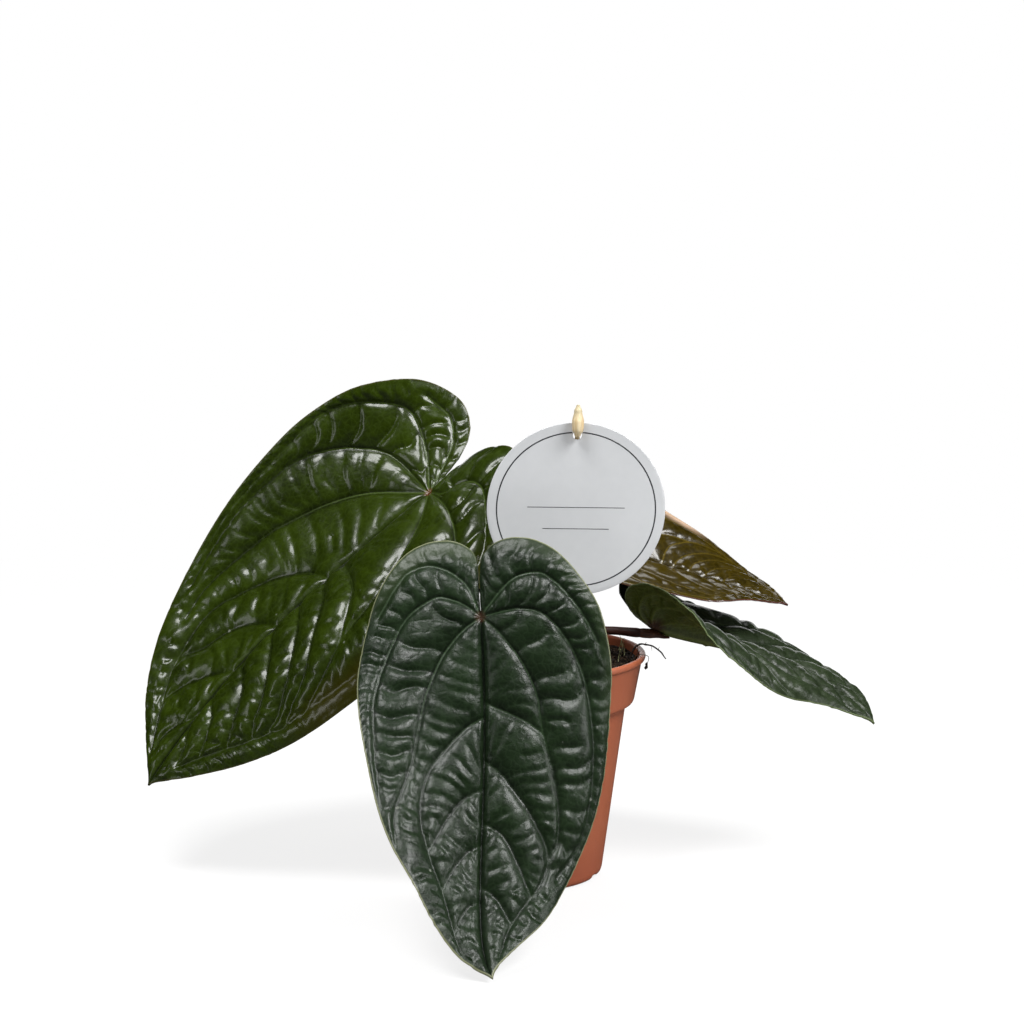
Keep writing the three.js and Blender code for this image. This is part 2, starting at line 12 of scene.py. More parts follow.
import bpy
import numpy as np
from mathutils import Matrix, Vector

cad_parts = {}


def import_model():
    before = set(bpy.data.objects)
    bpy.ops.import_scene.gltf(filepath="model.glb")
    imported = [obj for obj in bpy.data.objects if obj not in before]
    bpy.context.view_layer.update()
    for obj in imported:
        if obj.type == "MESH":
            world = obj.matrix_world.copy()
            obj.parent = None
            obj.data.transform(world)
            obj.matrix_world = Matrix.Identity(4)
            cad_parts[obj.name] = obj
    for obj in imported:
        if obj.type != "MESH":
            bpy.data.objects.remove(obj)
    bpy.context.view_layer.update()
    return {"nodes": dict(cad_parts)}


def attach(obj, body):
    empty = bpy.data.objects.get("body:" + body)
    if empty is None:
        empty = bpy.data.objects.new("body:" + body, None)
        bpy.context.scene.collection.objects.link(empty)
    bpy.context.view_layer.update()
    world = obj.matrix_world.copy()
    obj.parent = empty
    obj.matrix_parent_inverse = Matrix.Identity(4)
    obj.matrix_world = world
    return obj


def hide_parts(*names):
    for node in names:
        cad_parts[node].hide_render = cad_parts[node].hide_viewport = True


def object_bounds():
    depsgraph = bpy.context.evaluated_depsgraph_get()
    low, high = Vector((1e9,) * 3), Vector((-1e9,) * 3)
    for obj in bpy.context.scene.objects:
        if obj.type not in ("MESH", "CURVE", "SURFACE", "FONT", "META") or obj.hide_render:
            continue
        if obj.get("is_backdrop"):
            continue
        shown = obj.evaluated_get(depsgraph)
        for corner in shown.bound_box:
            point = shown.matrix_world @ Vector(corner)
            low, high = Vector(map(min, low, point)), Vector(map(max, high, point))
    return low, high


log = logging.getLogger("anthurium")

MM = 0.001
GAP = 0.3
BODY = "root"
ALL_SMOOTH = 180.0
Array = np.ndarray
Colour = tuple[float, float, float]
Point = tuple[float, float, float]
Pair = tuple[float, float]
Line = tuple[Pair, ...]
Material = bpy.types.Material
Socket = bpy.types.NodeSocket
Tree = bpy.types.NodeTree


class Slot(Enum):
    """The record's material slots."""

    POT = "terracotta_plastic"
    PEAT = "peat"
    CROWN = "crown_tissue"
    PETIOLE = "petiole_maroon"
    DARK_LEAF = "leaf_dark_green"
    GLOSS_LEAF = "leaf_gloss_green"
    BRONZE_LEAF = "leaf_bronze"
    CARD = "card"
    BAMBOO = "bamboo"
    ROOT = "root_skin"


# Number helpers.


def smooth(low: float, high: float, x: Array | float) -> Array:
    """Smooth step of x from 0 at low to 1 at high, which may lie below low."""
    t = np.clip((np.asarray(x, float) - low) / (high - low), 0.0, 1.0)
    return t * t * (3 - 2 * t)


def unit(v: Array) -> Array:
    """Vectors of length 1 along v."""
    return v / np.maximum(np.linalg.norm(v, axis=-1, keepdims=True), 1e-12)


def lengths(line: Array) -> Array:
    """How far along a line each of its points is."""
    return np.concatenate([[0], np.cumsum(np.linalg.norm(np.diff(line, axis=0), axis=1))])


def fraction(u: Array) -> Array:
    """The part of u after the point, safe at whole numbers."""
    return u - np.floor(u + 1e-9)


def lattice(i: Array, j: Array, k: Array, seed: int) -> Array:
    """Repeatable random numbers from 0 to 1.

    Args:
        i, j, k: Whole numbers that give each place.
        seed: Which pattern.

    Returns:
        One number for each place.
    """
    wrap = 0xFFFFFFFF
    h = (i * 73856093) ^ (j * 19349663) ^ (k * 83492791) ^ (seed * 2654435761 & wrap)
    h = h & wrap
    h = ((h ^ (h >> 15)) * 2246822519) & wrap
    h = ((h ^ (h >> 13)) * 3266489917) & wrap
    return ((h ^ (h >> 16)) & 0xFFFFFF) / float(0x1000000)


def noise(points: Array, size: float, seed: int = 1, octaves: int = 1) -> Array:
    """Smooth noise from -1 to 1.

    Args:
        points: Places, three numbers each.
        size: Distance between the noise's own lattice points.
        seed: Which pattern.
        octaves: Number of layers, each half as large and half as strong.

    Returns:
        One number for each place.
    """
    total = np.zeros(points.shape[:-1])
    weight = 1.0
    for octave in range(octaves):
        p = points / (size * 0.5**octave)
        base = np.floor(p).astype(np.int64)
        f = p - base
        f = f * f * (3 - 2 * f)
        value = np.zeros_like(total)
        for corner in range(8):
            d = np.array([corner & 1, corner >> 1 & 1, corner >> 2 & 1])
            at = base + d
            share = np.prod(np.where(d == 1, f, 1 - f), axis=-1)
            value += share * lattice(at[..., 0], at[..., 1], at[..., 2], seed + octave)
        total += weight * (2 * value - 1)
        weight *= 0.5
    return total


def cells(points: Array, size: float, seed: int) -> Array:
    """Irregular cells: 0 on the lines between them, about 1 in their middles.

    Args:
        points: Places, of which the first two numbers count.
        size: Size of a cell.
        seed: Which pattern.

    Returns:
        One number for each place.
    """
    p = points[..., :2] / size
    base = np.floor(p).astype(np.int64)
    first = np.full(p.shape[:-1], 9.0)
    second = first.copy()
    for i in range(-1, 2):
        for j in range(-1, 2):
            at = base + (i, j)
            flat = np.zeros_like(at[..., 0])
            luck = [lattice(at[..., 0], at[..., 1], flat + k, seed) for k in (0, 1)]
            spot = at + (0.15 + 0.7 * np.stack(luck, -1))
            d = np.linalg.norm(p - spot, axis=-1)
            second = np.minimum(second, np.maximum(first, d))
            first = np.minimum(first, d)
    return second - first


def dome(u: Array, steep: float = 0.8) -> Array:
    """A rounded hill over cells: a crease at 0, flat from steep on."""
    return 1 - (1 - np.clip(u / steep, 0, 1)) ** 2


def catmull_rom(points: Sequence[Point], u: Array) -> Array:
    """Centripetal Catmull-Rom curve, the one that the CAD source bends its rods along.

    Args:
        points: The points that the curve passes through.
        u: Places from 0 to 1, with the same share for each span.

    Returns:
        One point for each place.
    """
    p = np.array(points, float)
    p = np.vstack([2 * p[0] - p[1], p, 2 * p[-1] - p[-2]])
    spans = len(points) - 1
    at = np.clip(u * spans, 0, spans)
    i = np.minimum(at.astype(int), spans - 1)
    w = (at - i)[:, None]
    a, b, c, d = p[i], p[i + 1], p[i + 2], p[i + 3]

    def step(q: Array, r: Array) -> Array:
        """Square root of the distance between two rows of points."""
        return np.sqrt(np.linalg.norm(r - q, axis=1, keepdims=True))

    d0, d1, d2 = step(a, b), step(b, c), step(c, d)
    t1 = ((b - a) / d0 - (c - a) / (d0 + d1) + (c - b) / d1) * d1
    t2 = ((c - b) / d1 - (d - b) / (d1 + d2) + (d - c) / d2) * d1
    return b + t1 * w + (-3 * b + 3 * c - 2 * t1 - t2) * w**2 + (2 * b - 2 * c + t1 + t2) * w**3


# Meshes.


@dataclass
class Shape:
    """Points in millimetres, faces, a material number for each face and values for each point."""

    points: list = field(default_factory=list)
    faces: list = field(default_factory=list)
    paints: list = field(default_factory=list)
    values: dict = field(default_factory=dict)

    def add(self, points: Array, faces: Iterable[Sequence[int]], paint: int = 0, **values: Array) -> None:
        """Adds a stretch of mesh.

        Args:
            points: The new points.
            faces: Faces that number the new points from 0.
            paint: Material number of the new faces.
            values: Three numbers for each new point, by the attribute's name.
        """
        start = sum(len(p) for p in self.points)
        self.points.append(np.asarray(points, float).reshape(-1, 3))
        new = [tuple(int(i) + start for i in f) for f in faces]
        self.faces.extend(new)
        self.paints.extend([paint] * len(new))
        for name, rows in values.items():
            self.values.setdefault(name, []).append(np.asarray(rows, float).reshape(-1, 3))

    def build(
        self, name: str, materials: Sequence[Material], sharp: float = ALL_SMOOTH
    ) -> bpy.types.Object:
        """Makes the Blender object.

        Args:
            name: The object's name.
            materials: Its materials, in the order of the faces' numbers.
            sharp: Angle in degrees above which an edge stays sharp.

        Returns:
            The new object, at the origin.
        """
        mesh = bpy.data.meshes.new(name)
        points = np.vstack(self.points) * MM
        mesh.from_pydata(points.tolist(), [], self.faces)
        mesh.polygons.foreach_set("material_index", np.array(self.paints, np.int32))
        for key, rows in self.values.items():
            attribute = mesh.attributes.new(key, "FLOAT_VECTOR", "POINT")
            attribute.data.foreach_set("vector", np.vstack(rows).astype(np.float32).ravel())
        mesh.shade_smooth()
        if sharp < ALL_SMOOTH:
            mesh.set_sharp_from_angle(angle=math.radians(sharp))
        mesh.update()
        made = bpy.data.objects.new(name, mesh)
        bpy.context.scene.collection.objects.link(made)
        for material in materials:
            mesh.materials.append(material)
        return made


def dress(piece: bpy.types.Object, slot: Slot, *nodes: str) -> None:
    """Lets a finished piece ride on the body and hides the CAD nodes that it stands for.

    Args:
        piece: The finished object.
        slot: The record's slot for the piece; not used.
        nodes: CAD nodes that it replaces.
    """
    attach(piece, BODY)
    if nodes:
        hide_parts(*nodes)
    log.info("%s: %d faces", piece.name, len(piece.data.polygons))


def turns(count: int) -> Array:
    """Angles evenly round a circle."""
    return 2 * np.pi * np.arange(count) / count


def skin(rings: int, sides: int) -> list[tuple[int, ...]]:
    """Faces of a closed skin over rings of points, which the middles of its two ends follow.

    Args:
        rings, sides: Number of rings, and of points in a ring.

    Returns:
        The faces.
    """
    faces = []
    last = (rings - 1) * sides
    for j in range(sides):
        k = (j + 1) % sides
        faces += [(i + j, i + k, i + sides + k, i + sides + j) for i in range(0, last, sides)]
        faces += [(last + sides, k, j), (last + sides + 1, last + j, last + k)]
    return faces


def tube(path: Array, radii: Array, sides: int, squeeze: Array | None = None) -> dict[str, Any]:
    """A closed round tube along a line of points.

    Args:
        path: The line's points.
        radii: Radius at each point.
        sides: Number of sides.
        squeeze: Factor on the radius for each point and side, or None for a plain round one.

    Returns:
        Arguments for Shape.add, with the attribute "stem": across the tube and along it, in metres.
    """
    tangent = unit(np.gradient(path, axis=0))
    side = np.array([0.0, 1.0, 0.0]) if abs(tangent[0][0]) > 0.9 else np.array([1.0, 0.0, 0.0])
    angle = turns(sides)
    along = lengths(path)
    rings, stems = [], []
    for i, (centre, t) in enumerate(zip(path, tangent)):
        side = unit(side - t * np.dot(side, t))
        other = np.cross(t, side)
        r = radii[i] * (np.ones(sides) if squeeze is None else squeeze[i])
        across, up = np.cos(angle) * r, np.sin(angle) * r
        rings.append(centre + np.outer(across, side) + np.outer(up, other))
        stems.append(np.column_stack([across, up, np.full(sides, along[i])]) * MM)
    points = np.vstack([*rings, path[:1], path[-1:]])
    ends = np.array([[0, 0, 0], [0, 0, along[-1] * MM]])
    return {"points": points, "faces": skin(len(path), sides), "stem": np.vstack([*stems, ends])}


def blend_radii(radii: Sequence[float], u: Array) -> Array:
    """Radii spread evenly along a tube, eased from one to the next.

    Args:
        radii: The radii, from end to end.
        u: Places from 0 to 1.

    Returns:
        One radius for each place.
    """
    at = u * (len(radii) - 1)
    k = np.minimum(at.astype(int), len(radii) - 2)
    r = np.array(radii, float)
    return r[k] + (r[k + 1] - r[k]) * smooth(0, 1, at - k)


# Node trees.


class Graph:
    """A node tree with short ways to add and join nodes."""

    def __init__(self, tree: Tree) -> None:
        """Keeps the tree that nodes go into."""
        self.tree = tree

    def put(self, socket: Socket, value: Any) -> None:
        """Joins a socket to an output, or sets its value.

        Args:
            socket: The socket that takes the value.
            value: An output, a number, a vector or a colour of three numbers.
        """
        if isinstance(value, Socket):
            self.tree.links.new(value, socket)
        elif socket.type == "RGBA" and len(value) == 3:
            socket.default_value = (*value, 1.0)
        else:
            socket.default_value = value

    def node(self, kind: str, inputs: dict | None = None, **settings: Any) -> bpy.types.Node:
        """Adds a node.

        Args:
            kind: Blender's name for the node.
            inputs: Values or outputs for its sockets, by name or number.
            settings: Its properties.

        Returns:
            The new node.
        """
        made = self.tree.nodes.new(kind)
        for key, value in settings.items():
            setattr(made, key, value)
        for socket, value in (inputs or {}).items():
            self.put(made.inputs[socket], value)
        return made

    def math(self, operation: str, a: Any, b: Any = 0.0) -> Socket:
        """The result of one sum on two values."""
        return self.node("ShaderNodeMath", {0: a, 1: b}, operation=operation).outputs[0]

    def times(self, a: Any, b: Any) -> Socket:
        """The product of two values."""
        return self.math("MULTIPLY", a, b)

    def plus(self, a: Any, b: Any) -> Socket:
        """The sum of two values."""
        return self.math("ADD", a, b)

    def vector_math(self, operation: str, a: Any, b: Any) -> Socket:
        """The result of one sum on two vectors."""
        return self.node("ShaderNodeVectorMath", {0: a, 1: b}, operation=operation).outputs[0]

    def mix(self, factor: Any, a: Any, b: Any) -> Socket:
        """Colour a mixed with colour b by a factor."""
        return self.node("ShaderNodeMix", {0: factor, 6: a, 7: b}, data_type="RGBA").outputs[2]

    def ramp(self, value: Any, low: float, high: float, start: float = 0.0, end: float = 1.0) -> Socket:
        """A smooth step of value from start at low to end at high."""
        inputs = {"Value": value, "From Min": low, "From Max": high, "To Min": start, "To Max": end}
        return self.node("ShaderNodeMapRange", inputs, interpolation_type="SMOOTHSTEP").outputs["Result"]

    def noise(self, vector: Any, scale: Any, detail: float = 2.0, rough: float = 0.5) -> Socket:
        """Noise from 0 to 1."""
        inputs = {"Vector": vector, "Scale": scale, "Detail": detail, "Roughness": rough}
        return self.node("ShaderNodeTexNoise", inputs).outputs[0]

    def place(self) -> Socket:
        """The place in the object's own frame, in metres."""
        return self.node("ShaderNodeTexCoord").outputs["Object"]

    def attribute(self, name: str) -> Socket:
        """The three numbers that a mesh keeps at each point under a name."""
        return self.node("ShaderNodeAttribute", attribute_name=name).outputs["Vector"]

    def parts(self, vector: Any) -> tuple[Socket, ...]:
        """The three numbers of a vector, one by one."""
        return tuple(self.node("ShaderNodeSeparateXYZ", {0: vector}).outputs)

    def stretched(self, vector: Any, by: Point) -> Socket:
        """A vector with each of its numbers multiplied."""
        return self.vector_math("MULTIPLY", vector, by)

    def group(self, effect: Tree, **inputs: Any) -> Any:
        """Places a shared effect and joins its inputs, whose names have _ for a space; gives its outputs."""
        named = {key.replace("_", " "): value for key, value in inputs.items()}
        return self.node("ShaderNodeGroup", named, node_tree=effect).outputs


class Effects:
    """The shader effects that more than one material uses, each built once."""

    def __init__(self) -> None:
        """Builds every effect."""
        self.net = self._net()
        self.mottle = self._mottle()
        self.grain = self._grain()
        self.specks = self._specks()

    def cloud(self, g: Graph, at: Any, scale: float, low: float = 0.0, high: float = 1.0) -> Socket:
        """A value that changes softly between low and high."""
        return g.group(self.mottle, Vector=at, Scale=scale, Low=low, High=high)["Value"]

    def dots(self, g: Graph, at: Any, scale: float, share: float) -> Socket:
        """A mask that is 1 on sparse round specks."""
        return g.group(self.specks, Vector=at, Scale=scale, Share=share)["Mask"]

    @staticmethod
    def _start(name: str, numbers: dict[str, float], gives: Sequence[str]) -> tuple[Graph, Any, Any]:
        """Starts a node group that takes a vector and some numbers.

        Args:
            name: The group's name.
            numbers: First value of each number that it takes, by name.
            gives: Names of its outputs, all plain numbers.

        Returns:
            The graph, the inputs' sockets and the sockets that collect the outputs.
        """
        tree = bpy.data.node_groups.new(name, "ShaderNodeTree")
        tree.interface.new_socket("Vector", in_out="INPUT", socket_type="NodeSocketVector")
        for key, value in numbers.items():
            socket = tree.interface.new_socket(key, in_out="INPUT", socket_type="NodeSocketFloat")
            socket.default_value = value
        for key in gives:
            tree.interface.new_socket(key, in_out="OUTPUT", socket_type="NodeSocketFloat")
        graph = Graph(tree)
        return graph, graph.node("NodeGroupInput").outputs, graph.node("NodeGroupOutput").inputs

    def _net(self) -> Tree:
        """Net of tiny veins: sunken lines between rounded cells, in two sizes.

        Returns:
            The group.
        """
        numbers = {"Cells": 300.0, "Fine cells": 900.0, "Fine share": 0.3}
        g, inp, out = self._start("Fine net", numbers, ["Height", "Lines"])
        inputs = {"Vector": inp["Vector"], "Scale": 260.0, "Detail": 2.0}
        wander = g.node("ShaderNodeTexNoise", inputs).outputs["Color"]
        centred = g.vector_math("ADD", wander, (-0.5,) * 3)
        shift = g.stretched(centred, (0.0022,) * 3)
        at = g.vector_math("ADD", inp["Vector"], shift)
        edges = []
        for scale in ("Cells", "Fine cells"):
            inputs = {"Vector": at, "Scale": inp[scale], "Randomness": 0.85}
            cell = g.node("ShaderNodeTexVoronoi", inputs, feature="DISTANCE_TO_EDGE")
            edges.append(cell.outputs["Distance"])
        coarse = g.ramp(edges[0], 0.0, 0.34)
        fine = g.times(g.ramp(edges[1], 0.0, 0.3), inp["Fine share"])
        g.put(out["Height"], g.plus(coarse, fine))
        g.put(out["Lines"], g.ramp(edges[0], 0.02, 0.09, 1.0, 0.0))
        return g.tree

    def _mottle(self) -> Tree:
        """Soft cloudy change between two values, in two sizes.

        Returns:
            The group.
        """
        numbers = {"Scale": 60.0, "Low": 0.0, "High": 1.0}
        g, inp, out = self._start("Mottle", numbers, ["Value"])
        large = g.noise(inp["Vector"], inp["Scale"], 3.0, 0.6)
        small = g.noise(inp["Vector"], g.times(inp["Scale"], 7.0), 2.0)
        both = g.plus(g.times(large, 0.7), g.times(small, 0.3))
        inputs = {"Value": both, "From Min": 0.32, "From Max": 0.68}
        inputs |= {"To Min": inp["Low"], "To Max": inp["High"]}
        g.put(out["Value"], g.node("ShaderNodeMapRange", inputs).outputs["Result"])
        return g.tree

    def _grain(self) -> Tree:
        """Streaks that run along a stem or stick.

        Returns:
            The group.
        """
        g, inp, out = self._start("Long grain", {"Across": 1500.0, "Along": 40.0}, ["Height", "Streak"])
        scales = (inp["Across"], inp["Across"], inp["Along"])
        scaled = [g.times(number, scale) for number, scale in zip(g.parts(inp["Vector"]), scales)]
        at = g.node("ShaderNodeCombineXYZ", dict(enumerate(scaled))).outputs[0]
        fine = g.noise(at, 1.0, 4.0, 0.65)
        broad = g.noise(at, 0.28, 2.0)
        g.put(out["Height"], fine)
        g.put(out["Streak"], g.ramp(g.plus(fine, broad), 0.8, 1.2))
        return g.tree

    def _specks(self) -> Tree:
        """Sparse round specks, such as lime from watering, dust and crumbs.

        Returns:
            The group.
        """
        g, inp, out = self._start("Specks", {"Scale": 250.0, "Share": 0.1}, ["Mask"])
        cell = g.node("ShaderNodeTexVoronoi", {"Vector": inp["Vector"], "Scale": inp["Scale"]}, feature="F1")
        chance = g.parts(cell.outputs["Color"])[0]
        kept = g.math("LESS_THAN", chance, inp["Share"])
        dot = g.ramp(cell.outputs["Distance"], 0.1, 0.2, 1.0, 0.0)
        g.put(out["Mask"], g.times(kept, dot))
        return g.tree


@dataclass(frozen=True)
class Surface:
    """A material with one Principled shader, and the graph that its patterns go into."""

    material: Material
    graph: Graph
    shader: bpy.types.Node

    @classmethod
    def new(cls, name: str, **fixed: Any) -> "Surface":
        """Makes a material with one Principled shader.

        Args:
            name: The material's name.
            fixed: Values that are the same all over, by socket, with _ for a space.

        Returns:
            The surface, ready for its patterns.
        """
        material = bpy.data.materials.new(name)
        material.use_nodes = True
        material.node_tree.nodes.clear()
        graph = Graph(material.node_tree)
        sockets = {key.replace("_", " "): value for key, value in fixed.items()}
        shader = graph.node("ShaderNodeBsdfPrincipled", sockets)
        graph.node("ShaderNodeOutputMaterial", {"Surface": shader.outputs[0]})
        return cls(material, graph, shader)

    def feed(self, socket: str, value: Any) -> None:
        """Joins an output to one of the shader's sockets."""
        self.graph.put(self.shader.inputs[socket], value)

    def finish(self, colour: Any, rough: Any, height: Any, depth: float) -> Material:
        """Feeds what every material of the object has.

        Args:
            colour: The base colour.
            rough: The roughness.
            height: The surface's fine relief, from 0 to 1.
            depth: How deep that relief is, in metres.

        Returns:
            The material.
        """
        self.feed("Base Color", colour)
        self.feed("Roughness", rough)
        bump = self.graph.node("ShaderNodeBump", {"Height": height, "Distance": depth, "Strength": 1.0})
        self.feed("Normal", bump.outputs[0])
        return self.material


# Finishes.


@dataclass(frozen=True)
class LeafFinish:
    """Colours and gloss of one leaf."""

    name: str
    slot: Slot
    dark: Colour
    light: Colour
    vein: Colour
    margin: Colour
    blush: Colour
    joint: Colour
    under: Colour
    under_vein: Colour
    roughness: float
    coat: float
    specular: float
    sheen: float
    net: float
    lime: Colour = (0.4, 0.42, 0.36)
    ior: float = 1.45

    def upper(self, effects: Effects) -> Material:
        """Material of the upper face.

        Args:
            effects: The shared effects.

        Returns:
            The material.
        """
        s = Surface.new(
            f"{self.name}_upper", IOR=self.ior, Coat_Weight=self.coat, Coat_Roughness=0.16, Coat_IOR=self.ior,
            Specular_IOR_Level=self.specular, Sheen_Weight=self.sheen, Sheen_Roughness=0.45,
            Sheen_Tint=(0.62, 0.72, 0.74, 1.0),
        )
        g = s.graph
        flat = g.attribute("flat")
        vein, midrib, margin = g.parts(g.attribute("near"))
        height, blush, joint = g.parts(g.attribute("tone"))
        net = g.group(effects.net, Vector=flat, Cells=300.0, Fine_cells=1150.0, Fine_share=0.3)
        colour = g.mix(effects.cloud(g, flat, 45.0), self.dark, self.light)
        luck = g.parts(g.attribute("cell"))[1]
        line = g.times(g.ramp(vein, 0.15, 0.6, 0.6, 0.0), g.ramp(joint, 20.0, 90.0, 1.0, 0.1))
        edge = g.times(g.ramp(margin, 0.15, 0.75, 0.9, 0.0), g.ramp(joint, 22.0, 42.0))
        lime = effects.dots(g, flat, 210.0, 0.035)
        for share, tint in (
            (g.times(luck, 0.25), self.light),
            # Painted shade: the low parts of the cushions, in the creases between them, turn to a deeper dark
            # green.
            (g.ramp(height, 0.0, 0.45, 0.9, 0.0), tuple(0.4 * c for c in self.dark)),
            (g.times(net["Lines"], 0.10), self.vein),
            (blush, self.blush),
            (line, self.vein),
            # Painted shade: a narrow darkening along the midrib's groove.
            (g.ramp(midrib, 0.3, 1.1, 0.6, 0.0), self.dark),
            (edge, self.margin),
            (g.ramp(joint, 1.0, 3.6, 0.7, 0.0), self.joint),
            (g.times(lime, 0.3), self.lime),
        ):
            colour = g.mix(share, colour, tint)
        rough = effects.cloud(g, flat, 90.0, self.roughness - 0.04, self.roughness + 0.07)
        rough = g.plus(rough, g.times(lime, 0.25))
        raised = g.plus(g.times(net["Height"], self.net), g.ramp(vein, 0.1, 0.6, 0.25, 0.0))
        return s.finish(colour, rough, raised, 0.00006)

    def lower(self, effects: Effects) -> Material:
        """Material of the underside, paler and duller with raised pale veins.

        Args:
            effects: The shared effects.

        Returns:
            The material.
        """
        s = Surface.new(f"{self.name}_under", IOR=1.44, Coat_Weight=0.05, Coat_Roughness=0.35)
        g = s.graph
        flat = g.attribute("flat")
        vein, midrib, margin = g.parts(g.attribute("near"))
        joint = g.parts(g.attribute("tone"))[2]
        net = g.group(effects.net, Vector=flat, Cells=300.0, Fine_cells=1150.0, Fine_share=0.25)
        colour = g.mix(effects.cloud(g, flat, 60.0), tuple(c * 0.72 for c in self.under), self.under)
        for share, tint in (
            (g.times(net["Lines"], 0.35), self.under_vein),
            (g.ramp(vein, 0.25, 0.9, 0.85, 0.0), self.under_vein),
            (g.ramp(midrib, 0.8, 1.8, 0.9, 0.0), self.under_vein),
            (g.ramp(margin, 0.2, 0.9, 0.85, 0.0), self.margin),
            (g.ramp(joint, 2.0, 8.0, 0.9, 0.0), self.joint),
        ):
            colour = g.mix(share, colour, tint)
        rough = effects.cloud(g, flat, 120.0, 0.42, 0.58)
        raised = g.math("SUBTRACT", g.times(net["Lines"], 0.8), net["Height"])
        return s.finish(colour, rough, raised, 0.0001)


@dataclass(frozen=True)
class PotFinish:
    """Satin terracotta-coloured plastic with faint flow marks, dust and scuffs at the edges."""

    dark: Colour = (0.302, 0.081, 0.0355)
    light: Colour = (0.346, 0.098, 0.044)
    foot: Colour = (0.27, 0.062, 0.032)
    scuffed: Colour = (0.50, 0.17, 0.095)
    dust: Colour = (0.12, 0.045, 0.03)

    def make(self, effects: Effects) -> Material:
        """Makes the material.

        Args:
            effects: The shared effects.

        Returns:
            The material.
        """
        s = Surface.new("terracotta_plastic", IOR=1.46, Coat_Weight=0.08, Coat_Roughness=0.3)
        g = s.graph
        at = g.place()
        colour = g.mix(effects.cloud(g, g.stretched(at, (1, 1, 0.35)), 26.0), self.dark, self.light)
        colour = g.mix(g.ramp(g.parts(at)[2], 0.0, 0.025, 0.35, 0.0), colour, self.foot)
        edge = g.ramp(g.node("ShaderNodeNewGeometry").outputs["Pointiness"], 0.52, 0.60)
        colour = g.mix(g.times(edge, 0.45), colour, self.scuffed)
        colour = g.mix(g.times(effects.dots(g, at, 420.0, 0.05), 0.35), colour, self.dust)
        flow = g.noise(g.stretched(at, (60, 60, 900)), 1.0, 2.0)
        raised = g.plus(g.noise(at, 2600.0, 3.0), g.times(flow, 0.5))
        return s.finish(colour, effects.cloud(g, at, 70.0, 0.40, 0.50), raised, 0.00003)


@dataclass(frozen=True)
class CloudyFinish:
    """Matter that clouds change from one colour to another: peat, print, or card with a few scuffs.

    Clouds and roughness each have a scale, a low and a high value; the relief has its noise's scale,
    detail and roughness, and its depth in metres.
    """

    name: str
    dark: Colour
    light: Colour
    clouds: tuple[float, ...]
    rough: tuple[float, ...]
    relief: tuple[float, ...]
    ior: float = 1.4
    specular: float = 0.35
    coat: float = 0.0
    scuffed: Colour | None = None

    def make(self, effects: Effects) -> Material:
        """Makes the material.

        Args:
            effects: The shared effects.

        Returns:
            The material.
        """
        s = Surface.new(
            self.name, IOR=self.ior, Specular_IOR_Level=self.specular,
            Coat_Weight=self.coat, Coat_Roughness=0.35,
        )
        g = s.graph
        at = g.place()
        colour = g.mix(effects.cloud(g, at, *self.clouds), self.dark, self.light)
        if self.scuffed:
            scuff = effects.dots(g, g.stretched(at, (1, 1, 0.6)), 95.0, 0.05)
            colour = g.mix(g.times(scuff, 0.12), colour, self.scuffed)
        *grain, depth = self.relief
        return s.finish(colour, effects.cloud(g, at, *self.rough), g.noise(at, *grain), depth)


@dataclass(frozen=True)
class StemFinish:
    """Stem skin with streaks along it and small pale breathing spots."""

    name: str
    dark: Colour
    light: Colour
    roughness: float

    def make(self, effects: Effects) -> Material:
        """Makes the material.

        Args:
            effects: The shared effects.

        Returns:
            The material.
        """
        s = Surface.new(self.name, IOR=1.45, Coat_Weight=0.12, Coat_Roughness=0.3)
        g = s.graph
        at = g.attribute("stem")
        grain = g.group(effects.grain, Vector=at, Across=1400.0, Along=55.0)
        spots = effects.dots(g, g.stretched(at, (1, 1, 0.45)), 900.0, 0.16)
        pale = tuple(min(1.0, c * 1.7) for c in self.light)
        colour = g.mix(g.times(spots, 0.5), g.mix(grain["Streak"], self.dark, self.light), pale)
        rough = effects.cloud(g, at, 300.0, self.roughness - 0.06, self.roughness + 0.08)
        return s.finish(colour, rough, grain["Height"], 0.00018)


@dataclass(frozen=True)
class BambooFinish:
    """Split bamboo with brown vascular strips and a greyer head."""

    dark: Colour = (0.66, 0.50, 0.27)
    light: Colour = (0.78, 0.66, 0.43)
    strip: Colour = (0.40, 0.235, 0.095)
    grey: Colour = (0.36, 0.35, 0.24)

    def make(self, effects: Effects) -> Material:
        """Makes the material.

        Args:
            effects: The shared effects.

        Returns:
            The material.
        """
        s = Surface.new("bamboo", IOR=1.5)
        g = s.graph
        at = g.attribute("stem")
        grain = g.group(effects.grain, Vector=at, Across=2100.0, Along=60.0)
        strips = g.group(effects.grain, Vector=at, Across=700.0, Along=22.0)["Streak"]
        colour = g.mix(grain["Streak"], self.dark, self.light)
        colour = g.mix(g.times(strips, 0.55), colour, self.strip)
        colour = g.mix(g.ramp(g.parts(at)[2], 0.184, 0.189, 0.0, 0.45), colour, self.grey)
        return s.finish(colour, effects.cloud(g, at, 300.0, 0.5, 0.66), grain["Height"], 0.00016)


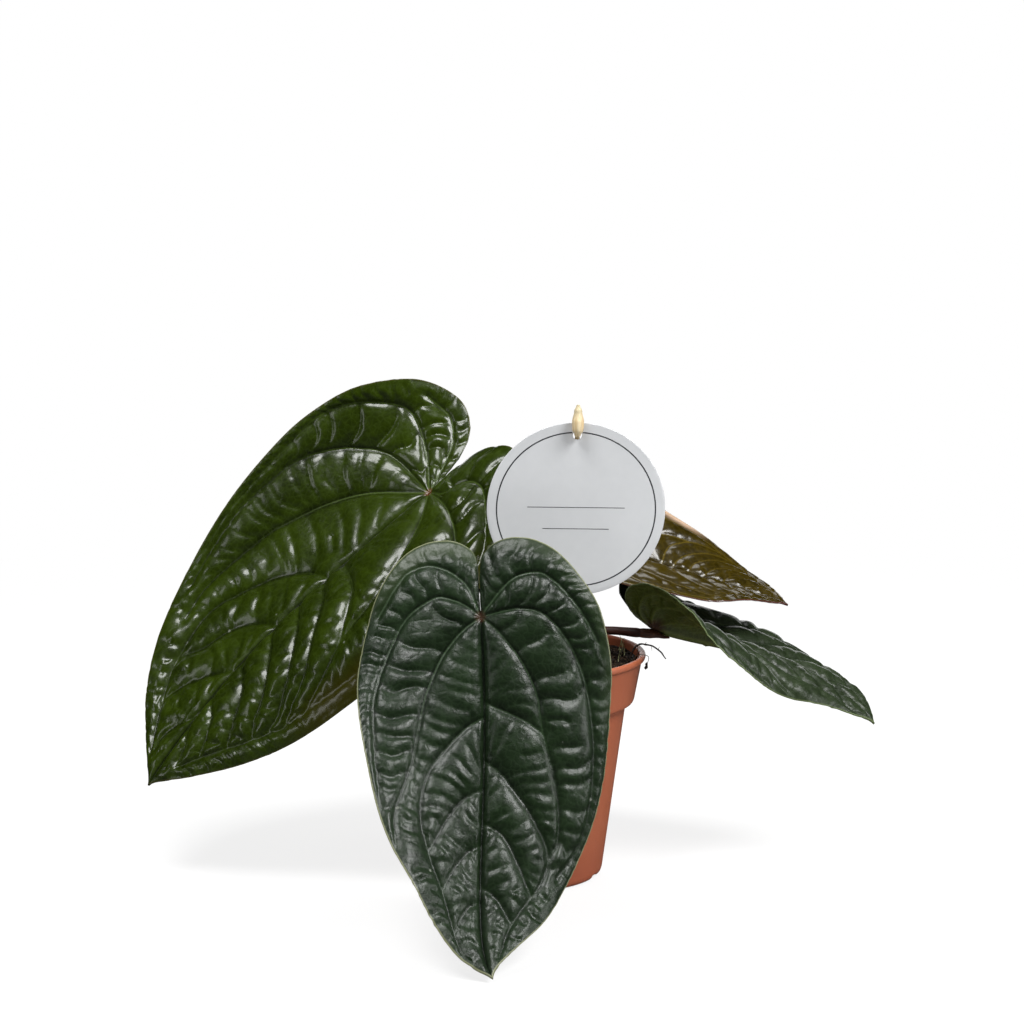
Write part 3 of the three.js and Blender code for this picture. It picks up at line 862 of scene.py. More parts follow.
class Finishes:
    """Every material of the object but the leaves', made once."""

    def __init__(self, effects: Effects) -> None:
        """Makes the materials.

        Args:
            effects: The shared effects.
        """
        self.pot = PotFinish().make(effects)
        fibrous = ((240.0, 0.0, 1.0), (420.0, 0.7, 0.95), (1900.0, 5.0, 0.7, 0.0005))
        peat = CloudyFinish("peat", (0.0065, 0.0034, 0.0018), (0.019, 0.0105, 0.0055), *fibrous)
        fibre = CloudyFinish("peat_fibre", (0.028, 0.016, 0.009), (0.085, 0.052, 0.030), *fibrous)
        self.peat, self.fibre = peat.make(effects), fibre.make(effects)
        maroon = StemFinish("petiole", (0.026, 0.0075, 0.0055), (0.075, 0.024, 0.014), 0.42)
        redder = StemFinish("petiole_joint", (0.050, 0.016, 0.009), (0.13, 0.055, 0.020), 0.40)
        self.petiole, self.joint = maroon.make(effects), redder.make(effects)
        self.crown = StemFinish("crown", (0.030, 0.016, 0.009), (0.11, 0.068, 0.035), 0.75).make(effects)
        self.root = StemFinish("root", (0.016, 0.009, 0.006), (0.055, 0.032, 0.020), 0.7).make(effects)
        self.sprout = StemFinish("sprout", (0.30, 0.33, 0.15), (0.46, 0.46, 0.26), 0.5).make(effects)
        # Matt laminated card, cool white.
        self.card = CloudyFinish(
            "card", (0.575, 0.588, 0.602), (0.612, 0.624, 0.637), (35.0, 0.0, 1.0), (140.0, 0.42, 0.54),
            (3200.0, 3.0, 0.5, 0.00001), 1.46, 0.5, 0.1, (0.58, 0.59, 0.61),
        ).make(effects)
        # Charcoal print, a little broken where the card's grain shows through.
        self.ink = CloudyFinish(
            "ink", (0.022, 0.024, 0.028), (0.085, 0.088, 0.095), (600.0, 0.0, 0.35), (300.0, 0.4, 0.5),
            (3200.0, 3.0, 0.5, 0.00001), 1.46, 0.5,
        ).make(effects)
        self.bamboo = BambooFinish().make(effects)


# Leaves.

BLADE = 0.8
STALK_GAP = GAP + 0.15
SINUS_EDGE = (0.07, 0.18)
OUTLINE = (
    (0, -0.012), (0.02, -0.055), (0.06, -0.125), (0.17, -0.19), (0.36, -0.217), (0.63, -0.17), (0.86, -0.05),
    (0.97, 0.09), (1, 0.21), (0.965, 0.37), (0.86, 0.54), (0.70, 0.69), (0.48, 0.82), (0.25, 0.915),
    (0.095, 0.965), (0.03, 0.985), (0, 1),
)


@dataclass(frozen=True)
class Blush:
    """A stretch of blade with another tint: half 0 has the -x side of the flat blade."""

    half: int
    start: float
    end: float
    inside: float
    amount: float


@dataclass(frozen=True)
class HalfVeins:
    """Main veins of half a flat blade, from the petiole.

    The laterals run from the petiole or the midrib; the bands run along the margin and round the lobe.
    Each line lists x, y, x, y in thousandths of the half width and of the blade's length.
    """

    laterals: tuple[tuple[int, ...], ...]
    bands: tuple[tuple[int, ...], ...]


@dataclass(frozen=True)
class LeafShape:
    """A blade's driving values, the same as in the CAD source, its veins and its finer mesh."""

    midrib: tuple[Point, Point, Point, Point]
    face: Point
    width: Pair
    roll: Point
    fold: tuple[Pair, Pair]
    curl: tuple[Pair, Pair]
    lobe: float
    relief: float
    wave: float
    keel: float
    groove: float
    veins: tuple[HalfVeins, HalfVeins]
    pitch: Pair
    rows: int
    columns: int
    seed: int
    sinus: float = 1.0
    blushes: tuple[Blush, ...] = ()


def outline_table() -> tuple[Array, Array]:
    """The half outline as a dense line.

    Returns:
        The line's points, and the share of its length at each of them.
    """
    p = np.array([[2 * a - b for a, b in zip(OUTLINE[0], OUTLINE[1])], *OUTLINE, (0, 1.015)], float)
    dense = []
    for i in range(1, len(p) - 2):
        a, b, c, d = p[i - 1], p[i], p[i + 1], p[i + 2]
        for t in np.arange(12) / 12:
            dense.append(0.5 * (2 * b + (c - a) * t + (2 * a - 5 * b + 4 * c - d) * t**2
                                + (3 * b - a - 3 * c + d) * t**3))
    dense.append(p[-2])
    line = np.array(dense)
    # Lengths count 2.8 times as much as half widths.
    at = lengths(line * (1, 2.8))
    return line, at / at[-1]


OUTLINE_LINE, OUTLINE_AT = outline_table()


def outline_at(t: Array) -> tuple[Array, Array]:
    """Half outline in half widths and lengths; t runs from the notch to the tip."""
    return np.interp(t, OUTLINE_AT, OUTLINE_LINE[:, 0]), np.interp(t, OUTLINE_AT, OUTLINE_LINE[:, 1])


def edge_at(t: Array, sinus: float) -> tuple[Array, Array]:
    """A blade's own half outline: the common one, with the lobes drawn together beside the notch."""
    x, y = outline_at(t)
    return x * (sinus + (1 - sinus) * smooth(*SINUS_EDGE, t)), y


def vein_foot(t: Array) -> Array:
    """Where the line that meets the outline at t leaves the midrib.

    Args:
        t: Places along the outline.

    Returns:
        Places along the midrib, in blade lengths.
    """
    y = outline_at(t)[1]
    peak = 0.16
    reach = np.clip((y - peak) / (1 - peak), 0, None) ** 1.5
    return np.where((t > 0.3) & (y > peak), reach, 0.0)


class BladeForm:
    """A blade's bent surface, from flat millimetres to space."""

    STEPS = 400

    def __init__(self, shape: LeafShape) -> None:
        """Measures the midrib.

        Args:
            shape: The blade's driving values.
        """
        self.shape = shape
        self.ribs = np.array(shape.midrib, float)
        self.at = lengths(self._bezier(np.linspace(0, 1, self.STEPS + 1))[0])
        self.length = float(self.at[-1])

    def _bezier(self, u: Array) -> tuple[Array, Array]:
        """The midrib's curve.

        Args:
            u: Places from 0 to 1.

        Returns:
            Points and directions.
        """
        u = np.asarray(u, float)[..., None]
        a, b, c, d = self.ribs
        v = 1 - u
        point = v**3 * a + 3 * v**2 * u * b + 3 * v * u**2 * c + u**3 * d
        return point, unit(3 * v**2 * (b - a) + 6 * v * u * (c - b) + 3 * u**2 * (d - c))

    def frames(self, y: Array) -> tuple[Array, Array, Array]:
        """The midrib at y millimetres.

        Args:
            y: Distances along the midrib; below 0 they lie in the lobes behind the petiole.

        Returns:
            Points, directions across the blade and directions out of its upper face.
        """
        yy = np.clip(y, 0, self.length)
        p, t = self._bezier(np.interp(yy, self.at, np.linspace(0, 1, self.STEPS + 1)))
        b = unit(np.cross(t, np.array(self.shape.face, float)))
        n = np.cross(b, t)
        q = yy / self.length
        r = self.shape.roll
        roll = (r[0] + r[1] * q + r[2] * q * q)[..., None]
        across = b * np.cos(roll) + n * np.sin(roll)
        out = n * np.cos(roll) - b * np.sin(roll)
        k = self.shape.lobe if abs(self.shape.lobe) > 1e-6 else 1e-6
        turn = (-k * np.minimum(y, 0.0))[..., None]
        p = p + t * (-np.sin(turn) / k) + out * ((1 - np.cos(turn)) / k)
        out = out * np.cos(turn) + t * np.sin(turn)
        return p, across, out

    def points(self, x: Array, y: Array, half: int) -> Array:
        """Points of the blade's middle surface.

        Args:
            x, y: Flat places across and along.
            half: 0 left of the midrib, 1 right of it.

        Returns:
            The points.
        """
        p, across, out = self.frames(y)
        q = np.clip(y / self.length, -0.25, 1)
        fold = self.shape.fold[half][0] + self.shape.fold[half][1] * q
        k = self.shape.curl[half][0] + self.shape.curl[half][1] * q
        k = np.where(np.abs(k) < 1e-5, 1e-5, k)
        a = np.abs(x)
        sideways = (np.sin(fold + k * a) - np.sin(fold)) / k * (1 if half else -1)
        lift = (np.cos(fold) - np.cos(fold + k * a)) / k
        return p + across * sideways[..., None] + out * lift[..., None]

    def normals(self, x: Array, y: Array, half: int) -> Array:
        """Unit normals out of the upper face.

        Args:
            x, y: Flat places across and along.
            half: 0 left of the midrib, 1 right of it.

        Returns:
            The normals.
        """
        e = 0.05
        sign = 1 if half else -1
        x0 = np.maximum(np.abs(x), e) * sign
        dx = self.points(x0 + e * sign * 0.9, y, half) - self.points(x0 - e * sign * 0.9, y, half)
        dy = self.points(x0, y + e, half) - self.points(x0, y - e, half)
        return unit(np.cross(dx, dy)) * sign

    def below(self, y: Array, radius: Array) -> Array:
        """Points under the midrib's keel, clear of it.

        Args:
            y: Distances along the midrib.
            radius: How far below the gap each point lies.

        Returns:
            The points.
        """
        zero = np.zeros_like(y)
        n = unit(self.normals(zero, y, 0) + self.normals(zero, y, 1))
        keel = 1.1 * self.shape.keel * smooth(0, 0.07, y / self.length)
        return self.points(zero, y, 1) - n * (BLADE / 2 + keel + STALK_GAP + radius)[:, None]

    def petiole_end(self, radius: float, arrive: Array) -> Array:
        """Where a petiole ends, just clear of the blade's lower face, as in the CAD source.

        Args:
            radius: The petiole's radius there.
            arrive: The direction in which it arrives.

        Returns:
            The point.
        """
        zero = np.zeros(1)
        p = self.points(zero, zero, 1)[0]
        n = unit(self.normals(zero, zero, 0) + self.normals(zero, zero, 1))[0]
        along = float(np.dot(n, arrive))
        return p - n * (BLADE / 2 + STALK_GAP + radius * math.sqrt(max(0.0, 1 - along * along)))


class VeinField:
    """Where each place of a half blade lies between its main veins, in flat millimetres."""

    # Kinds of strip: outside a band, between a band and a lateral, inside a lateral. For each: the spacing
    # of the cross veins at its start and its end, how deep they are, and the power of the cushions' arch.
    OUTER, MIDDLE, INNER = 0, 1, 2
    SPACING = ((6.6, 5.0), (12.5, 7.0), (9.0, 6.0))
    DEPTH = (0.75, 0.85, 0.5)
    ARCH = (0.62, 0.62, 0.75)

    def __init__(self, shape: LeafShape, half: int, length: float) -> None:
        """Lays out the veins, then the margin and the midrib, as dense lines.

        Args:
            shape: The blade's driving values.
            half: Which half.
            length: The blade's length.
        """
        veins, width = shape.veins[half], shape.width[half]
        scale = np.array([width, length])
        self.length = length
        self.lines = []
        for line in (*veins.laterals, *veins.bands):
            flat = np.array(line).reshape(-1, 2) / 1000 * scale
            knots = np.column_stack([flat, np.zeros(len(flat))])
            self.lines.append(catmull_rom(knots, np.linspace(0, 1, 14 * (len(flat) - 1) + 1))[:, :2])
        self.first_band = len(veins.laterals)
        self.margin = len(self.lines)
        self.lines.append(np.column_stack(edge_at(OUTLINE_AT, shape.sinus)) * scale)
        self.lines.append(np.column_stack([np.zeros(120), np.linspace(-0.012, 1, 120) * length]))

    @staticmethod
    def _nearest(flat: Array, line: Array, at: Array) -> tuple[Array, Array]:
        """Measures places against a line.

        Args:
            flat: The places.
            line: The line's points.
            at: How far along the line each of its points is.

        Returns:
            The way from the line's nearest point to each place, and how far along the line that point is.
        """
        k = ((flat[:, None, :] - line[None]) ** 2).sum(-1).argmin(1)
        best, along = flat - line[k], at[k]
        for other in (-1, 1):
            j = np.clip(k + other, 0, len(line) - 1)
            step = line[j] - line[k]
            w = np.clip(((flat - line[k]) * step).sum(1) / np.maximum((step**2).sum(1), 1e-9), 0, 1)
            way = flat - line[k] - step * w[:, None]
            closer = np.hypot(*way.T) < np.hypot(*best.T)
            along = np.where(closer, at[k] + (at[j] - at[k]) * w, along)
            best = np.where(closer[:, None], way, best)
        return best, along

    def look(self, x: Array, y: Array, pitch: Pair, seed: int) -> dict[str, Array]:
        """Reads the vein pattern.

        Args:
            x, y: Flat places across and along.
            pitch: Factors on the spacing of the cross veins, in the bands and between the laterals.
            seed: Which random pattern.

        Returns:
            For each place: distances to the nearest vein and to the margin, the width of its strip, the
            cushion's height across the strip, the cross veins' crease, their depth, how sure it is which
            strip the place lies in, and a random number.
        """
        flat = np.column_stack([np.abs(x).ravel(), y.ravel()])
        spots = np.arange(len(flat))
        found = []
        for line in self.lines:
            at = lengths(line)
            found.append((*self._nearest(flat, line, at), np.full(len(flat), at[-1])))
        way, along, full = (np.array(rows) for rows in zip(*found))
        d = np.hypot(way[..., 0], way[..., 1])
        first = d.argmin(0)
        same_side = (way * way[first, spots]).sum(-1) / np.maximum(d * d[first, spots], 1e-9)
        rival = d * (1 + 3 * smooth(-0.1, 0.6, same_side))
        rival[first, spots] = np.inf
        second, third = np.argsort(rival, axis=0)[:2]
        low, high = np.minimum(first, second), np.maximum(first, second)
        near, far = d[low, spots], d[high, spots]
        width = near + far
        v = near / np.maximum(width, 1e-6)
        inner = low < self.first_band
        outer = (~inner & (high <= self.margin)) | (high == self.margin)
        middle = inner & (high < self.margin) & (high >= self.first_band)
        kind = np.where(outer, self.OUTER, np.where(middle, self.MIDDLE, self.INNER))
        stretch = np.where(kind == self.INNER, pitch[1], pitch[0])
        start, end = (np.array(self.SPACING)[kind, i] * stretch for i in (0, 1))
        reach = along[low, spots] / full[low, spots]
        u = full[low, spots] / (end - start) * np.log1p((end / start - 1) * reach)
        luck = [2 * np.pi * lattice(low, high, np.zeros_like(low), seed + i) for i in range(4)]
        u = u + 0.14 * np.sin(2.1 * u + luck[0]) + 0.09 * np.sin(4.7 * u + luck[1])
        u = u + 0.5 * np.sin(luck[2]) * (v - 0.5) + 0.12 * np.sin(2 * np.pi * v + luck[3])
        f = fraction(u)
        rung = np.maximum(0, 4 * f * (1 - f)) ** 0.5
        hill = np.maximum(0, 4 * v * (1 - v)) ** np.array(self.ARCH)[kind]
        edge = np.where((high == self.margin) & (v > 0.5), 1 - 0.45 * smooth(0.5, 1, v), hill)
        sure = smooth(0, 0.25, rival[third, spots] / np.maximum(rival[second, spots], 1e-6) - 1)
        away = np.hypot(*flat.T)
        calm = np.where(kind == self.INNER, 0.3 + 0.7 * smooth(8, 0.35 * self.length, away), 1.0)
        depth = np.array(self.DEPTH)[kind] * sure * calm
        values = {
            "vein": d[: self.margin].min(0), "margin": d[self.margin], "width": width, "across": edge,
            "rung": rung, "depth": depth, "sure": sure,
            "luck": lattice(np.floor(u).astype(np.int64), low, high, seed + 9),
        }
        return {key: value.reshape(x.shape) for key, value in values.items()}


@dataclass
class Leaf:
    """One blade: a fine mesh with its cushions, veins, folds and edge."""

    # Small cushions: height, size and seed step of each kind.
    SMALL = ((0.16, 5.2, 0), (0.03, 2.3, 3))
    SMALL_DOME = 0.6
    # The front blade's groove, on which the small cushions' heights were set.
    FULL_GROOVE = 0.75
    CREASE = 0.45
    # How much flatter a blushed margin is.
    FLATTER = 0.8
    PASSES, OPEN_PASSES, EASE = 14, 2, 0.5
    MIDRIB_HALF = 1.5
    RIB_HEIGHT, RIB_HALF = 0.5, 0.75
    EDGE_THINNER = 0.6

    name: str
    shape: LeafShape
    finish: LeafFinish

    def __post_init__(self) -> None:
        """Makes the form that the blade is bent to."""
        self.form = BladeForm(self.shape)

    def _places(self, half: int) -> tuple[Array, Array, Array, Array]:
        """The half's grid, from the midrib to the margin and from the notch to the tip.

        Args:
            half: 0 or 1.

        Returns:
            Share s of the way to the margin, place t along the outline, and flat x and y.
        """
        inner = np.linspace(0, 1, self.shape.rows - 2) ** 1.12 * 0.985
        stations = np.concatenate([inner, [0.994, 1.0]])
        s, t = np.meshgrid(stations, np.linspace(0, 1, self.shape.columns), indexing="ij")
        ox, oy = edge_at(t, self.shape.sinus)
        foot = vein_foot(t)
        a, b, c = (1 - s) ** 2, 2 * s * (1 - s), s * s
        x = (b * 0.68 * ox + c * ox) * self.shape.width[half] * (1 if half else -1)
        y = (a * foot + b * (foot + 0.32 * (oy - foot)) + c * oy) * self.form.length
        return s, t, x, y

    def _blush(self, half: int, s: Array, t: Array) -> Array:
        """How much of the other tint each place has.

        Args:
            half: 0 or 1.
            s: Share of the way to the margin.
            t: Place along the outline.

        Returns:
            Amounts from 0 to 1.
        """
        blush = np.zeros_like(s)
        for b in self.shape.blushes:
            if b.half == half:
                edge = smooth(b.start - 0.06, b.start + 0.06, t) * smooth(b.end + 0.06, b.end - 0.06, t)
                inside = smooth(b.inside - 0.10, b.inside + 0.08, s)
                blush = np.maximum(blush, b.amount * edge * inside)
        return blush

    def _soften(self, h: Array, sure: Array) -> Array:
        """Smooths the relief, most of all where two strips meet and the pattern is not sure.

        Args:
            h: Heights.
            sure: 1 where it is clear which strip a place lies in.

        Returns:
            The smoothed heights.
        """
        for step in range(self.PASSES):
            beside = h[:-2, 1:-1] + h[2:, 1:-1] + h[1:-1, :-2] + h[1:-1, 2:]
            share = self.EASE if step < self.OPEN_PASSES else self.EASE * (1 - sure[1:-1, 1:-1])
            h[1:-1, 1:-1] += share * (beside / 4 - h[1:-1, 1:-1])
        return h

    def _half(self, half: int) -> dict[str, Array]:
        """Everything about one half of the blade.

        Args:
            half: 0 or 1.

        Returns:
            Points of both faces and what the materials need, as arrays of rows by columns.
        """
        shape, length = self.shape, self.form.length
        s, t, x, y = self._places(half)
        seen = VeinField(shape, half, length).look(x, y, shape.pitch, shape.seed + 50 * half)
        vein, margin = seen["vein"], seen["margin"]
        blush = self._blush(half, s, t)
        firm = 1 - self.FLATTER * blush
        cushion = 1 - seen["depth"] * (1 - seen["rung"])
        flat = np.stack([x, y, np.full_like(x, 7.0 * half)], -1)
        tall = shape.relief * 3.4 * (1 - np.exp(-seen["width"] / 12)) * (0.85 + 0.3 * seen["luck"])
        small = np.zeros_like(s)
        for height, size, more in self.SMALL:
            small = small + height * dome(cells(flat, size, shape.seed + more), self.SMALL_DOME)
        small = small * shape.groove / self.FULL_GROOVE * smooth(0, 2.2, vein)
        small = small * smooth(0, 2.5, np.abs(x)) * smooth(1, 0.95, s)
        crease = self.CREASE * shape.groove * np.exp(-(vein**2)) * firm * smooth(0, 6, margin)
        h = self._soften(tall * seen["across"] * cushion * firm + small - crease, seen["sure"])
        wave = shape.wave * s * s * np.sin(2 * np.pi * (3.5 * t + 0.35 * half))
        wave = wave * smooth(0, 0.15, t) * smooth(1, 0.85, t)
        along = np.clip(y / length, 0, 1)
        middle = np.abs(x) < 1e-3
        ridge = np.exp(-((x / self.MIDRIB_HALF) ** 2))
        h = np.where(middle, 0.0, h + wave) - shape.groove * ridge * smooth(1.0, 0.9, along)
        keel = shape.keel * 1.1 * ridge * smooth(0, 0.07, along) * (1 - 0.75 * along)
        rib = self.RIB_HEIGHT * np.exp(-((vein / self.RIB_HALF) ** 2)) * smooth(0, 8, margin)
        thick = BLADE / 2 * (1 - self.EDGE_THINNER * smooth(0.975, 1.0, s))
        normal = self.form.normals(x, y, half)
        zero, down = np.zeros(middle.sum()), y[middle]
        normal[middle] = unit(self.form.normals(zero, down, 0) + self.form.normals(zero, down, 1))
        p = self.form.points(x, y, half)
        return {
            "upper": p + normal * (h + thick)[..., None],
            "lower": p + normal * (h - thick - keel - rib)[..., None],
            "key": np.stack([x, y], -1),
            "flat": flat * MM,
            "near": np.stack([vein, np.abs(x), margin], -1),
            # The first tone value is the cushion's height; the upper material darkens its low parts as
            # painted shade in the creases.
            "tone": np.stack([seen["across"] * cushion, blush, np.hypot(x, y)], -1),
            "cell": np.stack([seen["rung"], seen["luck"], s], -1),
        }

    def build(self, effects: Effects) -> None:
        """Makes the blade and lets it stand for its CAD node.

        Args:
            effects: The shared effects.
        """
        halves = [self._half(half) for half in (0, 1)]
        shape = Shape()
        above, upper_faces, upper_edges = self._side(halves, "upper", 1)
        below, lower_faces, lower_edges = self._side(halves, "lower", 2)
        count = len(above["points"])
        points = np.vstack([above.pop("points"), below.pop("points")])
        rim = []
        for half in (0, 1):
            a, b = upper_edges[half], lower_edges[half] + count
            for k in range(len(b) - 1):
                near, middle, far = a[2 * k : 2 * k + 3]
                fan = [(near, middle, b[k]), (middle, b[k + 1], b[k]), (middle, far, b[k + 1])]
                rim += [face if half == 0 else face[::-1] for face in fan]
        faces = self._clean(upper_faces) + self._clean(np.array(rim))
        shape.add(points, faces, 0, **{key: np.vstack([above[key], below[key]]) for key in above})
        low = self._clean(lower_faces[:, ::-1] + count)
        shape.faces.extend(low)
        shape.paints.extend([1] * len(low))
        made = shape.build(f"leaf_{self.name}", [self.finish.upper(effects), self.finish.lower(effects)])
        dress(made, self.finish.slot, f"blade_{self.name}")

    @staticmethod
    def _side(halves: list[dict], side: str, step: int) -> tuple[dict, Array, list[Array]]:
        """Joins both halves of one side along the midrib.

        Args:
            halves: The arrays of both halves.
            side: Which surface, upper or lower.
            step: Keep each so-manieth row and column.

        Returns:
            Points and attributes, faces that look up, and the margin's points of each half.
        """
        grids = [{key: rows[::step, ::step] for key, rows in half.items()} for half in halves]
        rows, columns = grids[0]["key"].shape[:2]
        keys = np.round(np.concatenate([g["key"].reshape(-1, 2) for g in grids]) * 1e3).astype(np.int64)
        _, first, same = np.unique(keys, axis=0, return_index=True, return_inverse=True)
        same = same.reshape(-1)
        index = np.arange(rows * columns).reshape(rows, columns)
        quads = np.stack([index[:-1, :-1], index[1:, :-1], index[1:, 1:], index[:-1, 1:]], -1).reshape(-1, 4)
        faces = np.vstack([same[quads][:, ::-1], same[quads + rows * columns]])
        edges = [same[index[-1] + half * rows * columns] for half in (0, 1)]
        sources = {"points": side, "flat": "flat", "near": "near", "tone": "tone", "cell": "cell"}
        joined = {}
        for name, key in sources.items():
            joined[name] = np.concatenate([g[key].reshape(-1, 3) for g in grids])[first]
        return joined, faces, edges

    @staticmethod
    def _clean(faces: Array) -> list[tuple[int, ...]]:
        """Drops repeated corners, and faces with fewer than three.

        Args:
            faces: Faces by point number.

        Returns:
            What is left of them.
        """
        kept = []
        for face in faces.tolist():
            corners = tuple(dict.fromkeys(face))
            if len(corners) > 2:
                kept.append(corners)
        return kept


FRONT_VEINS = (
    HalfVeins(laterals=(
        (0, 0, 120, 40, 250, 103, 310, 139, 400, 221, 430, 304, 540, 449, 570, 508, 580, 564, 570, 606, 510,
         640),
        (0, 235, 340, 294, 430, 320),
        (0, 394, 120, 424, 270, 492, 340, 523, 510, 640, 490, 679, 450, 716, 220, 841, 100, 949),
        (0, 561, 130, 585, 200, 616, 380, 756),
        (0, 734, 120, 767, 220, 841),
    ), bands=(
        (0, 0, 300, -11, 460, 3, 550, 31, 670, 94, 770, 180, 800, 230, 840, 343, 840, 402, 830, 465, 760,
         590, 580, 696),
        (0, 0, 260, -93, 360, -108, 480, -110, 570, -89, 650, -58, 810, 35, 880, 85),
    )),
    HalfVeins(laterals=(
        (0, 0, 160, 38, 270, 80, 340, 116, 460, 214, 520, 305, 580, 413, 720, 567, 720, 614, 710, 665),
        (0, 275, 150, 306, 410, 412, 470, 459, 500, 511, 500, 574, 470, 623, 390, 708, 320, 759, 180, 928),
        (0, 470, 120, 491, 220, 524, 440, 658),
        (0, 621, 100, 641, 180, 671, 320, 759),
        (0, 778, 90, 792, 160, 825, 220, 870),
    ), bands=(
        (0, 0, 110, -32, 220, -50, 320, -58, 410, -49, 610, -4, 750, 89, 850, 194, 880, 254, 880, 331, 870,
         421, 820, 560, 780, 617, 720, 666),
        (0, 0, 90, -81, 170, -109, 280, -132, 400, -142, 570, -126, 820, -19),
    )),
)

LEFT_VEINS = (
    HalfVeins(laterals=(
        (0, 0, 350, 3, 650, 52, 780, 130, 830, 240, 830, 360, 770, 490, 670, 604),
        (0, 0, 230, 57, 370, 123, 410, 154, 530, 270, 580, 400),
        (0, 277, 240, 285, 350, 300, 440, 336, 580, 411, 620, 461, 650, 519, 670, 604),
        (0, 337, 170, 364, 280, 397, 450, 484, 520, 530, 560, 579, 600, 670),
        (0, 422, 190, 455, 320, 505, 420, 560, 490, 618, 530, 669, 520, 701),
        (0, 510, 180, 556, 300, 607, 370, 658, 400, 699, 450, 745),
        (0, 617, 190, 668, 260, 719, 340, 805),
        (0, 732, 140, 781, 210, 868),
        (0, 828, 70, 864, 100, 908),
    ), bands=(
        (0, 0, 180, -23, 210, -58, 270, -85, 370, -95, 490, -78, 750, -3, 880, 70, 940, 190, 950, 310, 900,
         450, 800, 580),
        (670, 604, 600, 670, 460, 751, 120, 918),
    )),
    HalfVeins(laterals=(
        (0, 0, 410, 5, 600, 59, 740, 128, 840, 214, 860, 266, 870, 387, 790, 539, 750, 579),
        (0, 0, 320, 112, 470, 206, 590, 324, 620, 359, 670, 546, 660, 584, 620, 645),
        (0, 328, 170, 355, 270, 392, 350, 430, 480, 536, 510, 567, 520, 604, 510, 640, 450, 729),
        (0, 502, 140, 526, 240, 559, 300, 595, 330, 627, 360, 665, 440, 727, 340, 814),
        (0, 654, 160, 704, 280, 769, 320, 816, 280, 852, 140, 937),
        (0, 786, 30, 817, 100, 850, 140, 888, 130, 922),
    ), bands=(
        (0, 0, 290, -76, 460, -104, 540, -104, 610, -90, 780, -28, 840, 6, 890, 49, 930, 106, 940, 217, 920,
         391, 840, 540),
        (0, 0, 160, -124, 230, -152, 310, -169, 500, -163),
    )),
)

LEAF_SHAPES = {
    "front": LeafShape(
        midrib=((-16.9, -85.5, 139.5), (-10.9, -108.2, 62.6), (-23.2, -139.5, 14.1), (-11.2, -162.3, 2.6)),
        face=(0, -1, 0.3), width=(57.6, 55.1), roll=(-0.464, 0.489, -0.094),
        fold=((-0.034, -0.095), (0.367, 0.110)), curl=((-0.01412, -0.00435), (-0.00185, 0.01560)),
        lobe=-0.00992, relief=1.0, wave=1.2, keel=1.3, groove=0.75, veins=FRONT_VEINS, pitch=(1.0, 0.9),
        rows=89, columns=365, seed=3, sinus=0.2,
        blushes=(Blush(0, 0.10, 0.52, 0.90, 0.5), Blush(1, 0.04, 0.30, 0.84, 0.9)),
    ),
    "left": LeafShape(
        midrib=((-42.6, 19.4, 179.4), (-80.0, 10.2, 147.3), (-131.1, 4.8, 112.2), (-174.9, -15.0, 45.1)),
        face=(0, 0, 1), width=(77.7, 78.6), roll=(0.417, 0.136, 0.551),
        fold=((0.372, 0.082), (0.106, -0.902)), curl=((-0.01267, 0.00407), (0.01379, -0.00232)),
        lobe=0.0, relief=1.15, wave=1.4, keel=1.4, groove=0.4, veins=LEFT_VEINS, pitch=(1.1, 1.35),
        rows=91, columns=375, seed=31,
        blushes=(Blush(0, 0.36, 0.74, 0.78, 0.8),),
    ),
    "low": LeafShape(
        midrib=((63.6, 1.1, 117.8), (91.2, 10.2, 105.6), (136.2, 13.9, 105.7), (168.1, -7.9, 73.2)),
        face=(0, 0, 1), width=(41.5, 43.1), roll=(0.349, -0.566, 0.340),
        fold=((1.001, -0.836), (0.448, -0.469)), curl=((-0.01197, -0.01489), (-0.02202, -0.01321)),
        lobe=0.01476, relief=1.2, wave=0.8, keel=1.0, groove=0.5, veins=FRONT_VEINS, pitch=(1.2, 1.15),
        rows=65, columns=255, seed=57,
    ),
    "high": LeafShape(
        midrib=((44.7, 20.2, 151.0), (76.4, 17.0, 142.5), (103.8, 21.5, 134.3), (128.9, 14.2, 126.2)),
        face=(0, 0, 1), width=(35.8, 32.1), roll=(-0.544, 0.219, 0.218),
        fold=((0.393, -0.352), (0.362, -0.199)), curl=((-0.00333, -0.00613), (-0.00497, -0.00491)),
        lobe=0.0, relief=0.85, wave=0.6, keel=0.9, groove=0.3, veins=LEFT_VEINS, pitch=(1.1, 1.25),
        rows=57, columns=221, seed=83,
        blushes=(Blush(0, 0.20, 0.62, 0.88, 0.9),),
    ),
}

